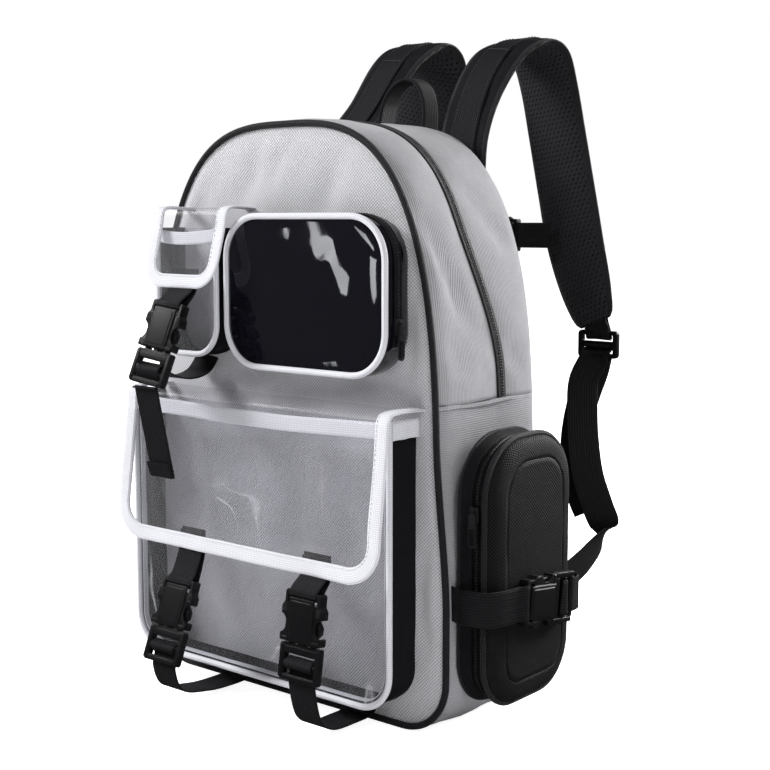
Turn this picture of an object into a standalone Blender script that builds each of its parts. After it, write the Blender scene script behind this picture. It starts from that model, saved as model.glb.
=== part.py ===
"""Backpack with clear and gloss pockets, buckled flaps, a strapped side pouch and padded
shoulder straps. Metres, +Z up, front faces -Y, "right" is +X and "left" is -X.
Origin on the ground, under the middle of the bag body."""
import math

import bmesh
import bpy
from mathutils import Matrix, Vector

# ---------------------------------------------------------------- shared dimensions
BODY_H = 0.450          # ground to the crown of the arch
HALF_W = 0.1495         # half width where the arch starts
ARCH_Z = 0.150          # where the arch starts
ARCH_N = 3.04           # squareness of the arch
FLARE = 0.009           # how much wider the bag is near its foot
FLARE_TOP = 0.22        # height where the flare starts
FLARE_DROP = 0.13       # height over which it grows
CORNER_R = 0.042        # bottom corners
FRONT_Y, BACK_Y = -0.061, 0.0615
CLOTH = 0.0025          # padded fabric wall
GAP = 0.0004            # clearance between neighbouring pieces
FACE_Y = FRONT_Y - CLOTH - GAP   # where the pockets start, in front of the front panel
SEAM_Z = 0.2430         # where the main zip ends and the front panel divides
WEB = 0.026             # webbing width
WEB_T = 0.0016          # webbing thickness
BUCKLE = 0.89           # buckle size, against one for 30 mm webbing
VINYL_T = 0.001         # clear sheet
ARC_STEPS = 5           # segments in a quarter circle, unless a piece says otherwise
ALONG_X, ALONG_Y, ALONG_Z = (1, 0, 0), (0, 1, 0), (0, 0, 1)

for old in list(bpy.data.objects):
    bpy.data.objects.remove(old, do_unlink=True)
PARTS = bpy.data.collections.new("backpack")
CUTTERS = bpy.data.collections.new("cutters")
for collection in (PARTS, CUTTERS):
    bpy.context.scene.collection.children.link(collection)
CUTTERS.hide_render = True


# ---------------------------------------------------------------- materials
def material(name, rgb, roughness, metallic=0.0, alpha=1.0):
    mat = bpy.data.materials.new(name)
    mat.use_nodes = True
    shader = mat.node_tree.nodes["Principled BSDF"]
    shader.inputs["Base Color"].default_value = (*rgb, 1.0)
    shader.inputs["Roughness"].default_value = roughness
    shader.inputs["Metallic"].default_value = metallic
    shader.inputs["Alpha"].default_value = alpha
    return mat


GREY = material("grey_canvas", rgb=(0.62, 0.62, 0.64), roughness=0.85)
BLACK = material("black_fabric", rgb=(0.02, 0.02, 0.022), roughness=0.8)
WEBBING = material("black_webbing", rgb=(0.018, 0.018, 0.02), roughness=0.65)
PLASTIC = material("black_plastic", rgb=(0.012, 0.012, 0.012), roughness=0.4)
GLOSS = material("black_gloss_vinyl", rgb=(0.006, 0.006, 0.010), roughness=0.06)
CLEAR = material("clear_vinyl", rgb=(0.85, 0.86, 0.88), roughness=0.08, alpha=0.3)
WHITE = material("white_piping", rgb=(0.9, 0.9, 0.92), roughness=0.6)
METAL = material("black_zip_metal", rgb=(0.03, 0.03, 0.03), roughness=0.35, metallic=0.8)


# ---------------------------------------------------------------- flat outlines, as (x, z)
def arc(x, z, radius, start, sweep=90, steps=ARC_STEPS):
    """Points on an arc about (x, z), its angles in degrees."""
    angles = [math.radians(start + sweep * i / steps) for i in range(steps + 1)]
    return [(x + radius * math.cos(a), z + radius * math.sin(a)) for a in angles]


def shifted(points, distance, closed=False):
    """The polyline moved to its left by distance."""
    count, out = len(points), []
    for i, point in enumerate(points):
        before = points[(i - 1) % count] if closed or i > 0 else point
        after = points[(i + 1) % count] if closed or i < count - 1 else point
        way = Vector((after[0] - before[0], after[1] - before[1]))
        way.normalize()
        out.append((point[0] - way.y * distance, point[1] + way.x * distance))
    return out


def rounded(x0, x1, z0, z1, r_bottom, r_top, steps=ARC_STEPS):
    """A rounded rectangle, anticlockwise from the bottom right."""
    return (
        arc(x1 - r_bottom, z0 + r_bottom, r_bottom, -90, steps=steps)
        + arc(x1 - r_top, z1 - r_top, r_top, 0, steps=steps)
        + arc(x0 + r_top, z1 - r_top, r_top, 90, steps=steps)
        + arc(x0 + r_bottom, z0 + r_bottom, r_bottom, 180, steps=steps)
    )


def u_shape(x0, x1, z0, z1, radius):
    """An open U: down the left side, under, and up the right side."""
    middle = (z0 + radius + z1) / 2
    left = arc(x0 + radius, z0 + radius, radius, 180)
    right = arc(x1 - radius, z0 + radius, radius, 270)
    return [(x0, z1), (x0, middle)] + left + right + [(x1, middle), (x1, z1)]


def slot(half, z0, z1):
    """A rectangle centred on x = 0."""
    return [(-half, z0), (half, z0), (half, z1), (-half, z1)]


def below(outline, level):
    """The part of a closed outline under a level, cut straight across."""
    out = []
    for i, (x, z) in enumerate(outline):
        next_x, next_z = outline[(i + 1) % len(outline)]
        if z <= level:
            out.append((x, z))
        if (z - level) * (next_z - level) < 0:
            t = (level - z) / (next_z - z)
            out.append((x + t * (next_x - x), level))
    return out


def above(outline, level):
    return [(x, -z) for x, z in below([(x, -z) for x, z in outline], -level)]


# ---------------------------------------------------------------- solid builders
def place(obj, mat, where=PARTS):
    where.objects.link(obj)
    if mat is not None:
        obj.data.materials.append(mat)
    return obj


def mesh_object(name, bm, mat, where=PARTS):
    mesh = bpy.data.meshes.new(name)
    bm.to_mesh(mesh)
    bm.free()
    return place(bpy.data.objects.new(name, mesh), mat, where)


def plate(name, outline, thickness, mat, holes=()):
    """A flat outline as a filled 2D curve, thickness across its own Z."""
    curve = bpy.data.curves.new(name, "CURVE")
    curve.dimensions = "2D"
    curve.fill_mode = "BOTH"
    curve.extrude = thickness / 2
    for points in (outline, *holes):
        spline = curve.splines.new("POLY")
        spline.points.add(len(points) - 1)
        for target, (x, z) in zip(spline.points, points):
            target.co = (x, z, 0, 1)
        spline.use_cyclic_u = True
    return place(bpy.data.objects.new(name, curve), mat)


def stand(obj, y, x=0.0, z=0.0, tilt=0.0):
    """Turns a plate drawn in its own XY to stand in XZ at depth y. A tilt swings its foot forward."""
    obj.rotation_euler = (math.pi / 2 - tilt, 0, 0)
    obj.location = (x, y, z)
    return obj


def box(name, low, high, mat, where=PARTS):
    """A box between two opposite corners, its origin in its middle."""
    low, high = Vector(low), Vector(high)
    bm = bmesh.new()
    bmesh.ops.create_cube(bm, size=1.0)
    bmesh.ops.scale(bm, vec=high - low, verts=bm.verts)
    obj = mesh_object(name, bm, mat, where)
    obj.location = (high + low) / 2
    return obj


def extruded(bm, edges):
    """Extrudes the edges in place and returns the new vertices."""
    made = bmesh.ops.extrude_edge_only(bm, edges=edges)["geom"]
    return [item for item in made if isinstance(item, bmesh.types.BMVert)]


def walled(name, bm, thickness, offset, mat):
    """An open surface with a wall thickness."""
    obj = mesh_object(name, bm, mat)
    wall = obj.modifiers.new("wall", "SOLIDIFY")
    wall.thickness = thickness
    wall.offset = offset
    wall.use_even_offset = True
    return obj


def strip(rows, closed=False):
    """A surface between two edges. Each row is the pair of points across it."""
    bm = bmesh.new()
    first = [bm.verts.new(row[0]) for row in rows]
    edges = [bm.edges.new(pair) for pair in zip(first, first[1:])]
    if closed:
        edges.append(bm.edges.new((first[-1], first[0])))
    row_of = {vert: i for i, vert in enumerate(first)}
    for vert in extruded(bm, edges):
        for edge in vert.link_edges:
            source = edge.other_vert(vert)
            if source in row_of:
                vert.co = rows[row_of[source]][1]
    bm.normal_update()
    return bm


def band(name, path, front, rear, thickness, mat, closed=False):
    """A wall along a convex (x, z) path, its outer side on the path.
    front and rear are its edges' depths, each a number or a function of z."""
    def depth(edge, z):
        return edge(z) if callable(edge) else edge

    bm = strip([[(x, depth(front, z), z), (x, depth(rear, z), z)] for x, z in path], closed)
    mean_x = sum(x for x, z in path) / len(path)
    mean_z = sum(z for x, z in path) / len(path)
    inside = Vector((mean_x, 0, mean_z))
    outward = sum(f.calc_area() * f.normal.dot(f.calc_center_median() - inside) for f in bm.faces)
    if outward < 0:
        bmesh.ops.reverse_faces(bm, faces=bm.faces)
    return walled(name, bm, thickness, -1.0, mat)


def ribbon(name, path, across, width=WEB, thickness=WEB_T, mat=WEBBING):
    """Webbing along a 3D path. across is the direction of its width.
    across and width are each a single value or a list with one for each point."""
    rows = []
    for i, point in enumerate(path):
        full = width[i] if isinstance(width, list) else width
        side = Vector(across[i] if isinstance(across, list) else across).normalized()
        point = Vector(point)
        rows.append([point - side * full / 2, point + side * full / 2])
    return walled(name, strip(rows), thickness, 0.0, mat)


def cord(name, points, radius, mat, cyclic=False):
    curve = bpy.data.curves.new(name, "CURVE")
    curve.dimensions = "3D"
    curve.bevel_depth = radius
    curve.bevel_resolution = 1
    curve.use_fill_caps = True
    spline = curve.splines.new("POLY")
    spline.points.add(len(points) - 1)
    for target, point in zip(spline.points, points):
        target.co = (*point, 1)
    spline.use_cyclic_u = cyclic
    return place(bpy.data.objects.new(name, curve), mat)


# ---------------------------------------------------------------- body outline
ARCH_STEPS = 32
TUB_SIDE_STEPS = TUB_CORNER_STEPS = 6
ZIP_CROWN_Y = -0.010    # depth of the main zip over the crown
ZIP_SHIFT = 0.025       # how much further back it runs at its ends
ZIP_BEND_TOP = 0.38     # height where the zip starts to move back
ZIP_BEND_DROP = 0.12    # height over which it moves


def smoothstep(t):
    t = min(1.0, max(0.0, t))
    return t * t * (3 - 2 * t)


def flare(z):
    return FLARE * smoothstep((FLARE_TOP - z) / FLARE_DROP)


def half_width(z):
    rise = min(1.0, max(0.0, (z - ARCH_Z) / (BODY_H - ARCH_Z)))
    return HALF_W * (1 - rise**ARCH_N) ** (1 / ARCH_N) + flare(z)


def arch_points(z0):
    """The bag outline above z0, from the right side over the crown to the left side."""
    start = math.asin(((z0 - ARCH_Z) / (BODY_H - ARCH_Z)) ** (ARCH_N / 2))
    points = []
    for i in range(ARCH_STEPS + 1):
        angle = start + (math.pi - 2 * start) * i / ARCH_STEPS
        c, s = math.cos(angle), math.sin(angle)
        z = ARCH_Z + (BODY_H - ARCH_Z) * abs(s) ** (2 / ARCH_N)
        points.append((math.copysign(HALF_W * abs(c) ** (2 / ARCH_N) + flare(z), c), z))
    return points


def tub_points(z0):
    """The bag outline below z0, from the left side under the foot to the right side."""
    heights = [z0 + (CORNER_R - z0) * i / TUB_SIDE_STEPS for i in range(TUB_SIDE_STEPS + 1)]
    right = [(half_width(z), z) for z in heights]
    corner_x = half_width(CORNER_R) - CORNER_R
    right += arc(corner_x, CORNER_R, CORNER_R, 0, sweep=-90, steps=TUB_CORNER_STEPS)[1:]
    return [(-x, z) for x, z in right] + right[::-1]


def zip_y(z):
    """Depth of the main zip: behind the middle at its ends, further forward over the arch."""
    return ZIP_CROWN_Y + ZIP_SHIFT * smoothstep((ZIP_BEND_TOP - z) / ZIP_BEND_DROP)


def beside_zip(offset):
    """A band edge that runs at an offset in depth from the main zip."""
    return lambda z: zip_y(z) + offset


# ---------------------------------------------------------------- body shell
BACK_T = 0.0078             # back panel thickness
PANEL_INSET = 0.0066        # outline to the front panels' edge
BACK_INSET = 0.0003         # outline to the back panel's edge
WALL_FRONT_Y = FRONT_Y + 0.0024
WALL_REAR_Y = BACK_Y - 0.0084
GUSSET_EDGE = 0.0048        # gusset edges, from the zip line
TAPE_OUTER, TAPE_INNER = 0.0044, 0.0003   # zip tape edges, from the zip line
TAPE_T = 0.0018
BODY_PIPE_R = 0.003
BODY_PIPE_INSET = 0.0031    # outline to the piping's centre
BODY_PIPE_Y = FRONT_Y - 0.0012

arch = arch_points(SEAM_Z + 0.0008)
tub = tub_points(SEAM_Z - 0.0004)
whole = tub + arch_points(SEAM_Z)[1:-1]
panel = shifted(whole, PANEL_INSET, closed=True)

for name, outline in (("lower", below(panel, SEAM_Z - GAP)), ("upper", above(panel, SEAM_Z + GAP))):
    stand(plate("front_panel_" + name, outline, CLOTH, GREY), FRONT_Y - CLOTH / 2)
back = shifted(whole, BACK_INSET, closed=True)
stand(plate("back_panel", back, BACK_T, BLACK), BACK_Y - BACK_T / 2)

for name, path, front, rear, thickness, mat in (
    ("lower_tub", tub, WALL_FRONT_Y, WALL_REAR_Y, CLOTH, GREY),
    ("front_gusset", arch, WALL_FRONT_Y, beside_zip(-GUSSET_EDGE), CLOTH, GREY),
    ("rear_gusset", arch, beside_zip(GUSSET_EDGE), WALL_REAR_Y, CLOTH, GREY),
    ("zip_tape_front", arch, beside_zip(-TAPE_OUTER), beside_zip(-TAPE_INNER), TAPE_T, BLACK),
    ("zip_tape_rear", arch, beside_zip(TAPE_INNER), beside_zip(TAPE_OUTER), TAPE_T, BLACK),
):
    band(name, path, front, rear, thickness, mat)

for name, path in (("lower", tub), ("upper", arch)):
    line = [(x, BODY_PIPE_Y, z) for x, z in shifted(path, BODY_PIPE_INSET)]
    cord("front_piping_" + name, line, BODY_PIPE_R, BLACK)

# ---------------------------------------------------------------- pockets and clear flaps
POCKET_WALL = 0.0015
PIPE_R = 0.0023
PIPE_CLEAR = PIPE_R + GAP   # piping centre to the gusset and to the face
FLAP_RISE = 0.001           # how far a flap's foot-to-top outline stops short of its fold


def pocket(prefix, outline, y, closed=False, wall_mat=BLACK, face="front", face_t=VINYL_T,
           face_mat=CLEAR):
    """A gusset, white piping round its front edge, and a face inside the piping."""
    band(prefix + "_gusset", outline, FACE_Y, y + PIPE_CLEAR, POCKET_WALL, wall_mat, closed)
    cord(prefix + "_piping", [(x, y, z) for x, z in outline], PIPE_R, WHITE, closed)
    inner = shifted(outline, PIPE_CLEAR, closed)
    stand(plate(f"{prefix}_{face}", inner, face_t, face_mat), y)


def flap(name, half, length, radius, x, fold, tilt):
    """A clear flap that hangs from its fold line (y, z), with rounded bottom corners."""
    left = arc(-half + radius, -length + radius, radius, 180)
    right = [(-x, z) for x, z in reversed(left)]
    outline = [(-half, -FLAP_RISE)] + left + right + [(half, -FLAP_RISE)]
    stand(plate(name, outline, VINYL_T, CLEAR), fold[0], x, fold[1], tilt)


# big clear pocket
BIG_X, BIG_HALF_W, BIG_Z0, BIG_Z1, BIG_R, BIG_Y = -0.0060, 0.1355, 0.0225, 0.2345, 0.028, -0.0945
BIG_FOLD = (-0.104, 0.238)      # fold line of its flap (y, z)
BIG_TILT = math.radians(6.5)
BIG_FLAP_X, BIG_FLAP_HALF, BIG_FLAP_L, BIG_FLAP_R = -0.0005, 0.1385, 0.119, 0.03
BIG_TOP_D = 0.0385              # depth of the flap's flat top

pocket("big_pocket", u_shape(BIG_X - BIG_HALF_W, BIG_X + BIG_HALF_W, BIG_Z0, BIG_Z1, BIG_R), BIG_Y)
box("big_flap_top", (BIG_FLAP_X - BIG_FLAP_HALF, FACE_Y - BIG_TOP_D, BIG_FOLD[1]),
    (BIG_FLAP_X + BIG_FLAP_HALF, FACE_Y, BIG_FOLD[1] + VINYL_T), CLEAR)
flap("big_flap", BIG_FLAP_HALF, BIG_FLAP_L, BIG_FLAP_R, BIG_FLAP_X, BIG_FOLD, BIG_TILT)

# black gloss pocket
GLOSS_X0, GLOSS_X1, GLOSS_Z0, GLOSS_Z1 = -0.038, 0.121, 0.264, 0.378
GLOSS_R, GLOSS_Y, GLOSS_FACE_T = 0.032, -0.0890, 0.0016

pocket("gloss_pocket", rounded(GLOSS_X0, GLOSS_X1, GLOSS_Z0, GLOSS_Z1, GLOSS_R, GLOSS_R), GLOSS_Y,
       closed=True, wall_mat=GLOSS, face="face", face_t=GLOSS_FACE_T, face_mat=GLOSS)

# small clear pocket
SMALL_X0, SMALL_X1, SMALL_Z0, SMALL_Z1 = -0.1135, -0.0465, 0.270, 0.369
SMALL_R, SMALL_Y = 0.024, -0.0920
SMALL_FOLD = (-0.0945, 0.3828)  # fold line of its flap (y, z)
SMALL_TILT = math.radians(15)
SMALL_FLAP_X0, SMALL_FLAP_X1, SMALL_FLAP_L, SMALL_FLAP_R = -0.1115, -0.0290, 0.062, 0.022

pocket("small_pocket", u_shape(SMALL_X0, SMALL_X1, SMALL_Z0, SMALL_Z1, SMALL_R), SMALL_Y)
box("small_flap_top", (SMALL_FLAP_X0, SMALL_FOLD[0] + 0.0015, SMALL_FOLD[1] + 0.0002),
    (SMALL_FLAP_X1, FACE_Y - 0.0020, SMALL_FOLD[1] + 0.0012), CLEAR)
flap("small_flap", (SMALL_FLAP_X1 - SMALL_FLAP_X0) / 2, SMALL_FLAP_L, SMALL_FLAP_R,
     (SMALL_FLAP_X1 + SMALL_FLAP_X0) / 2, SMALL_FOLD, SMALL_TILT)

# ---------------------------------------------------------------- side release buckles
# A buckle's frame has its origin at the socket's mouth, the socket up its +Z, the plug's strap
# end down its -Z, and its face to its -Y. Half outlines are (x, z) in millimetres, for x > 0.
SOCKET_H = 0.042
SOCKET_T, SOCKET_Y = 0.0087, -0.00065
SOCKET_HALF = [
    (20.5, 0), (21.5, 1.2), (21.5, 5.9),
    *arc(24, 14, 8.5, -108, sweep=-144, steps=8)[1:-1],   # side window
    (21.5, 22.1), (21.5, 28), (18.8, 32), (18.8, 40.5), (17.3, 42),
]
SOCKET_CUTS = (   # opposite corners of each cutter
    ((-0.0197, -0.0028, -0.002), (0.0197, 0.006, 0.026)),   # cavity, open at the mouth and behind
    ((-0.0158, -0.01, 0.0318), (0.0158, 0.01, 0.0375)),     # slot for the webbing
)
PLUG_T, PLUG_Y = 0.0055, 0.00035
PLUG_SLOTS = (slot(0.0162, -0.010, -0.016), slot(0.0162, -0.021, -0.027))


def plug_half(gap):
    """Centre guide, sprung arm and strap adjuster, which starts gap below the socket's mouth."""
    return [
        (0.8, 20), (2.6, 19), (3.0, -gap), (9.6, -gap), (11.6, 8), (11.4, 20.5), (13.6, 21.8),
        (16.2, 19.2), (18.9, 15.5), (18.9, 9.5), (16.6, 7.5), (14.6, 5.5), (13.6, -gap),
        (20.5, -gap), (21.5, -gap - 1), (21.5, -30.5), (20, -32),
    ]


def buckle_part(name, half, thickness, y, frame, holes=()):
    """A mirrored half outline as a welded mesh, its origin at the buckle's frame."""
    outline = [(x / 1000, z / 1000) for x, z in half]
    outline += [(-x, z) for x, z in reversed(outline)]
    curve = stand(plate(name, outline, thickness, PLASTIC, holes), y)
    bpy.context.view_layer.update()
    graph = bpy.context.evaluated_depsgraph_get()
    mesh = bpy.data.meshes.new_from_object(curve.evaluated_get(graph))
    bm = bmesh.new()
    bm.from_mesh(mesh)
    bmesh.ops.remove_doubles(bm, verts=bm.verts, dist=1e-6)
    bmesh.ops.recalc_face_normals(bm, faces=bm.faces)
    bm.to_mesh(mesh)
    bm.free()
    mesh.transform(curve.matrix_world)
    mesh.materials.clear()
    bpy.data.objects.remove(curve, do_unlink=True)
    part = place(bpy.data.objects.new(name, mesh), PLASTIC)
    part.matrix_world = frame
    return part


def buckle(prefix, frame, suffix="", gap=1.8, scale=BUCKLE):
    """A socket and its plug. gap, in millimetres, is between the socket's mouth and the plug."""
    frame = frame @ Matrix.Scale(scale, 4)
    name = f"{prefix}_socket{suffix}"
    socket = buckle_part(name, SOCKET_HALF, SOCKET_T, SOCKET_Y, frame)
    for low, high in SOCKET_CUTS:
        cutter = box(name + "_cut", low, high, None, CUTTERS)
        cutter.data.transform(Matrix.Translation(cutter.location))
        cutter.matrix_world = frame
        cutter.hide_render = True
        cutter.display_type = "WIRE"
        cut = socket.modifiers.new("cut", "BOOLEAN")
        cut.operation = "DIFFERENCE"
        cut.object = cutter
    buckle_part(f"{prefix}_plug{suffix}", plug_half(gap), PLUG_T, PLUG_Y, frame, PLUG_SLOTS)


def frame_from_top(top, turn):
    """A buckle's frame from the place of its socket's top."""
    return Matrix.Translation(Vector(top) + turn @ Vector((0, 0, -SOCKET_H * BUCKLE))) @ turn


def hanging(top, tilt, lean=0.0):
    """The frame of a buckle with its plug end down, swung forward by tilt and to the left by lean."""
    return frame_from_top(top, Matrix.Rotation(lean, 4, "Y") @ Matrix.Rotation(-tilt, 4, "X"))


def on_plug(frame, drop, behind=0.0):
    """A point on the plug's middle line, drop below the mouth before scaling."""
    return frame @ Vector((0, behind, -drop * BUCKLE))


def flap_tab(name, fold, tilt, stations, top, rise):
    """Webbing from behind a flap to a socket's bar. Stations are (behind, distance from fold)."""
    path = [(top[0], fold[0] + behind - distance * math.sin(tilt),
             fold[1] - distance * math.cos(tilt)) for behind, distance in stations]
    ribbon(name, path + [(top[0], top[1] + 0.0003, top[2] + rise)], ALONG_X)


# buckles of the big flap: side, top of the socket, forward tilt
for side, top, tilt in (
    ("left", (-0.0545, -0.1235, 0.0970), math.radians(22)),
    ("right", (0.0765, -0.1225, 0.1100), math.radians(8.6)),
):
    frame = hanging(top, tilt)
    buckle("front_buckle", frame, suffix="_" + side)
    flap_tab("flap_strap_" + side, BIG_FOLD, BIG_TILT, [(0.0022, 0.108), (0.0024, 0.1206)],
             top, rise=0.0012)
    # from the plug's end bar, under the pocket, to the foot of the front panel
    bar = on_plug(frame, 0.0335)
    ribbon("lower_strap_" + side, [
        (bar.x, bar.y + 0.0030, bar.z - 0.0022), (bar.x, bar.y + 0.0100, 0.0150),
        (bar.x + 0.002, -0.1120, 0.0066), (bar.x + 0.003, -0.0880, 0.0050),
        (bar.x + 0.004, -0.0698, 0.0085),
    ], ALONG_X)

# buckle of the small flap
SMALL_TOP = (-0.0670, -0.1185, 0.3115)
frame = hanging(SMALL_TOP, tilt=math.radians(20), lean=math.radians(6))
buckle("small_buckle", frame)
flap_tab("small_flap_strap", SMALL_FOLD, SMALL_TILT, [(0.0022, 0.048), (0.0026, 0.0626)],
         SMALL_TOP, rise=0.0028)
# from under the pocket to the plug's first bar
bar = on_plug(frame, 0.0140, behind=0.0052)
ribbon("small_lower_strap", [
    (bar.x - 0.013, FACE_Y - 0.0016, 0.2650), (bar.x - 0.010, FACE_Y - 0.014, 0.2560),
    (bar.x - 0.004, -0.1000, 0.2522), (bar.x, bar.y + 0.0090, bar.z - 0.0075), bar,
], ALONG_X)
# the loose end: a turn round the end bar, and the hanging tail
tail = on_plug(frame, 0.0350)
turn_half = Vector((WEB / 2, 0.0020, 0.0006))
box("small_tail_turn", tail - turn_half, tail + turn_half, WEBBING)
ribbon("small_tail", [
    (tail.x, tail.y, tail.z - 0.0012), (tail.x, tail.y + 0.0080, tail.z - 0.034),
    (tail.x, tail.y + 0.0165, tail.z - 0.0715),
], ALONG_X)

# ---------------------------------------------------------------- zip sliders and pulls
MAIN_SLIDER_Z = 0.262


def zip_fitting(prefix, at, out):
    """A slider on a zip that runs up Z, its face along out, with a pull that hangs from it."""
    out = Vector(out)
    up = Vector(ALONG_Z)
    turn = Matrix((up.cross(out), out, up)).transposed().to_4x4()
    frame = Matrix.Translation(at) @ turn
    slider = box(prefix + "_slider", (-0.0040, 0.0009, -0.0055), (0.0040, 0.0034, 0.0055), METAL)
    bevel = slider.modifiers.new("round", "BEVEL")
    bevel.width = 0.0008
    bevel.segments = 1
    slider.matrix_world = frame @ Matrix.Translation(slider.location)
    outline = rounded(-0.0034, 0.0034, -0.024, 0.001, r_bottom=0.003, r_top=0.001, steps=3)
    pull = plate(prefix + "_pull", outline, 0.0014, METAL)
    upright = Matrix.Rotation(math.pi / 2, 4, "X")
    pull.matrix_world = frame @ Matrix.Translation((0, 0.0046, 0)) @ upright


main_slider_x = -half_width(MAIN_SLIDER_Z) - 0.0004
zip_fitting("main_zip", (main_slider_x, zip_y(MAIN_SLIDER_Z), MAIN_SLIDER_Z), (-1, 0, 0))
zip_fitting("gloss_pocket_zip", (GLOSS_X1, -0.0765, 0.300), (1, 0, 0))
zip_fitting("pouch_zip", (0.1740, -0.0522, 0.168), (0, -1, 0))

# ---------------------------------------------------------------- side pouch
POUCH_X0, POUCH_X1, POUCH_X2 = 0.1592, 0.1820, 0.1905   # bag side, case rim, outer face
CASE_T, COVER_T = 0.002, 0.0035
COVER_INSET = 0.012
# outlines as (y, z)
POUCH_FLOOR = rounded(-0.0530, 0.0490, 0.0290, 0.2140, r_bottom=0.028, r_top=0.041)
POUCH_RIM = rounded(-0.0525, 0.0555, 0.0225, 0.2205, r_bottom=0.036, r_top=0.044)


def tray(name, floor, rim, floor_x, rim_x, thickness):
    """A dish: a flat floor, and walls from its outline to the rim's."""
    bm = bmesh.new()
    face = bm.faces.new([bm.verts.new((floor_x, y, z)) for y, z in floor])
    for vert in extruded(bm, list(face.edges)):
        near = min(range(len(floor)), key=lambda i: (floor[i][0] - vert.co.y) ** 2
                   + (floor[i][1] - vert.co.z) ** 2)
        vert.co = (rim_x, *rim[near])
    bmesh.ops.recalc_face_normals(bm, faces=bm.faces)
    bm.normal_update()
    if face.normal.x > 0:
        bmesh.ops.reverse_faces(bm, faces=bm.faces)
    walled(name, bm, thickness, -1.0, BLACK)


tray("pouch_case", POUCH_FLOOR, POUCH_RIM, POUCH_X0, POUCH_X1, CASE_T)
tray("pouch_cover", shifted(POUCH_RIM, COVER_INSET, closed=True), POUCH_RIM,
     POUCH_X2 - COVER_T, POUCH_X1 + GAP, COVER_T)

# the buckle lies on the pouch: plug end to the back and a little down, its face away from the bag
SIDE_X, SIDE_Z = 0.1960, 0.1020
SIDE_DIP = math.radians(7)
turn = Matrix(((0, -1, 0), (0, 0, -1), (1, 0, 0))).to_4x4() @ Matrix.Rotation(SIDE_DIP, 4, "Y")
frame = frame_from_top((SIDE_X, -0.0260, SIDE_Z), turn)
buckle("side_buckle", frame)
ribbon("side_strap_front", [
    (0.1606, -0.0565, SIDE_Z - 0.001), (0.1660, -0.0600, SIDE_Z - 0.001),
    (0.1780, -0.0615, SIDE_Z), (0.1885, -0.0590, SIDE_Z), (0.1940, -0.0500, SIDE_Z),
    (SIDE_X, -0.0276, SIDE_Z),
], ALONG_Z)
bar = on_plug(frame, 0.0340)
ribbon("side_strap_rear", [
    bar, (bar.x - 0.001, bar.y + 0.0090, bar.z - 0.0010), (0.1890, 0.0610, bar.z - 0.0020),
    (0.1780, 0.0635, bar.z - 0.0025), (0.1680, 0.0620, bar.z - 0.0025),
    (0.1606, 0.0585, bar.z - 0.0025),
], ALONG_Z)

# ---------------------------------------------------------------- shoulder straps
SHOULDER_T = 0.0090
# centre line from the seam over the top and down, and the strap's width there: x, y, z, width
SHOULDER_RIGHT = [
    (0.0715, 0.0700, 0.4400, 0.038), (0.0690, 0.0880, 0.4730, 0.045),
    (0.0720, 0.1120, 0.5050, 0.053), (0.0790, 0.1380, 0.5190, 0.059),
    (0.0835, 0.1560, 0.5130, 0.061), (0.0875, 0.1670, 0.4850, 0.062),
    (0.0925, 0.1730, 0.4450, 0.062), (0.0995, 0.1770, 0.4000, 0.062),
    (0.1085, 0.1780, 0.3560, 0.061), (0.1200, 0.1780, 0.3180, 0.054),
    (0.1310, 0.1770, 0.2890, 0.040),
]
SHOULDER_LEFT = [
    (-0.0560, 0.0700, 0.4400, 0.038), (-0.0450, 0.0920, 0.4740, 0.043),
    (-0.0390, 0.1160, 0.5070, 0.053), (-0.0350, 0.1420, 0.5240, 0.062),
    (-0.0330, 0.1600, 0.5170, 0.065), (-0.0420, 0.1710, 0.4890, 0.064),
    (-0.0550, 0.1760, 0.4480, 0.062), (-0.0740, 0.1780, 0.4020, 0.062),
    (-0.0930, 0.1785, 0.3560, 0.061), (-0.1100, 0.1780, 0.3180, 0.054),
    (-0.1230, 0.1770, 0.2890, 0.040),
]
SHOULDER_TURN = math.radians(10)    # turn about Z, and the share of it at each station
SHOULDER_SHARES = (0, 0, 0, 0.3, 0.6, 1, 1, 1, 1, 1, 1)
ADJUSTER_HALF_W, ADJUSTER_HALF_H, ADJUSTER_T = 0.0190, 0.0115, 0.0045
ADJUSTER_SLOTS = (slot(0.0145, 0.0025, 0.0078), slot(0.0145, -0.0078, -0.0025))
# webbing below the adjuster: x outward from the adjuster, y, z
WEBBING_RUN = [
    (-0.004, 0.1760, 0.2575), (-0.010, 0.1710, 0.2400), (-0.006, 0.1630, 0.2150),
    (0.0, 0.1560, 0.1900), (0.007, 0.1530, 0.1620), (0.016, 0.1550, 0.1360),
    (0.023, 0.1550, 0.1180), (0.022, 0.1300, 0.1000), (0.018, 0.1000, 0.0860),
]
WEBBING_END = (0.1510, 0.0665, 0.0740)   # on the right side of the bag
WEBBING_TWIST = math.radians(60)    # twist about Y, and the share of it at each point
TWIST_SHARES = (0, 0, 0, 0.15, 0.45, 0.8, 1.0, 1.0, 0.8, 0.6)

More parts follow.
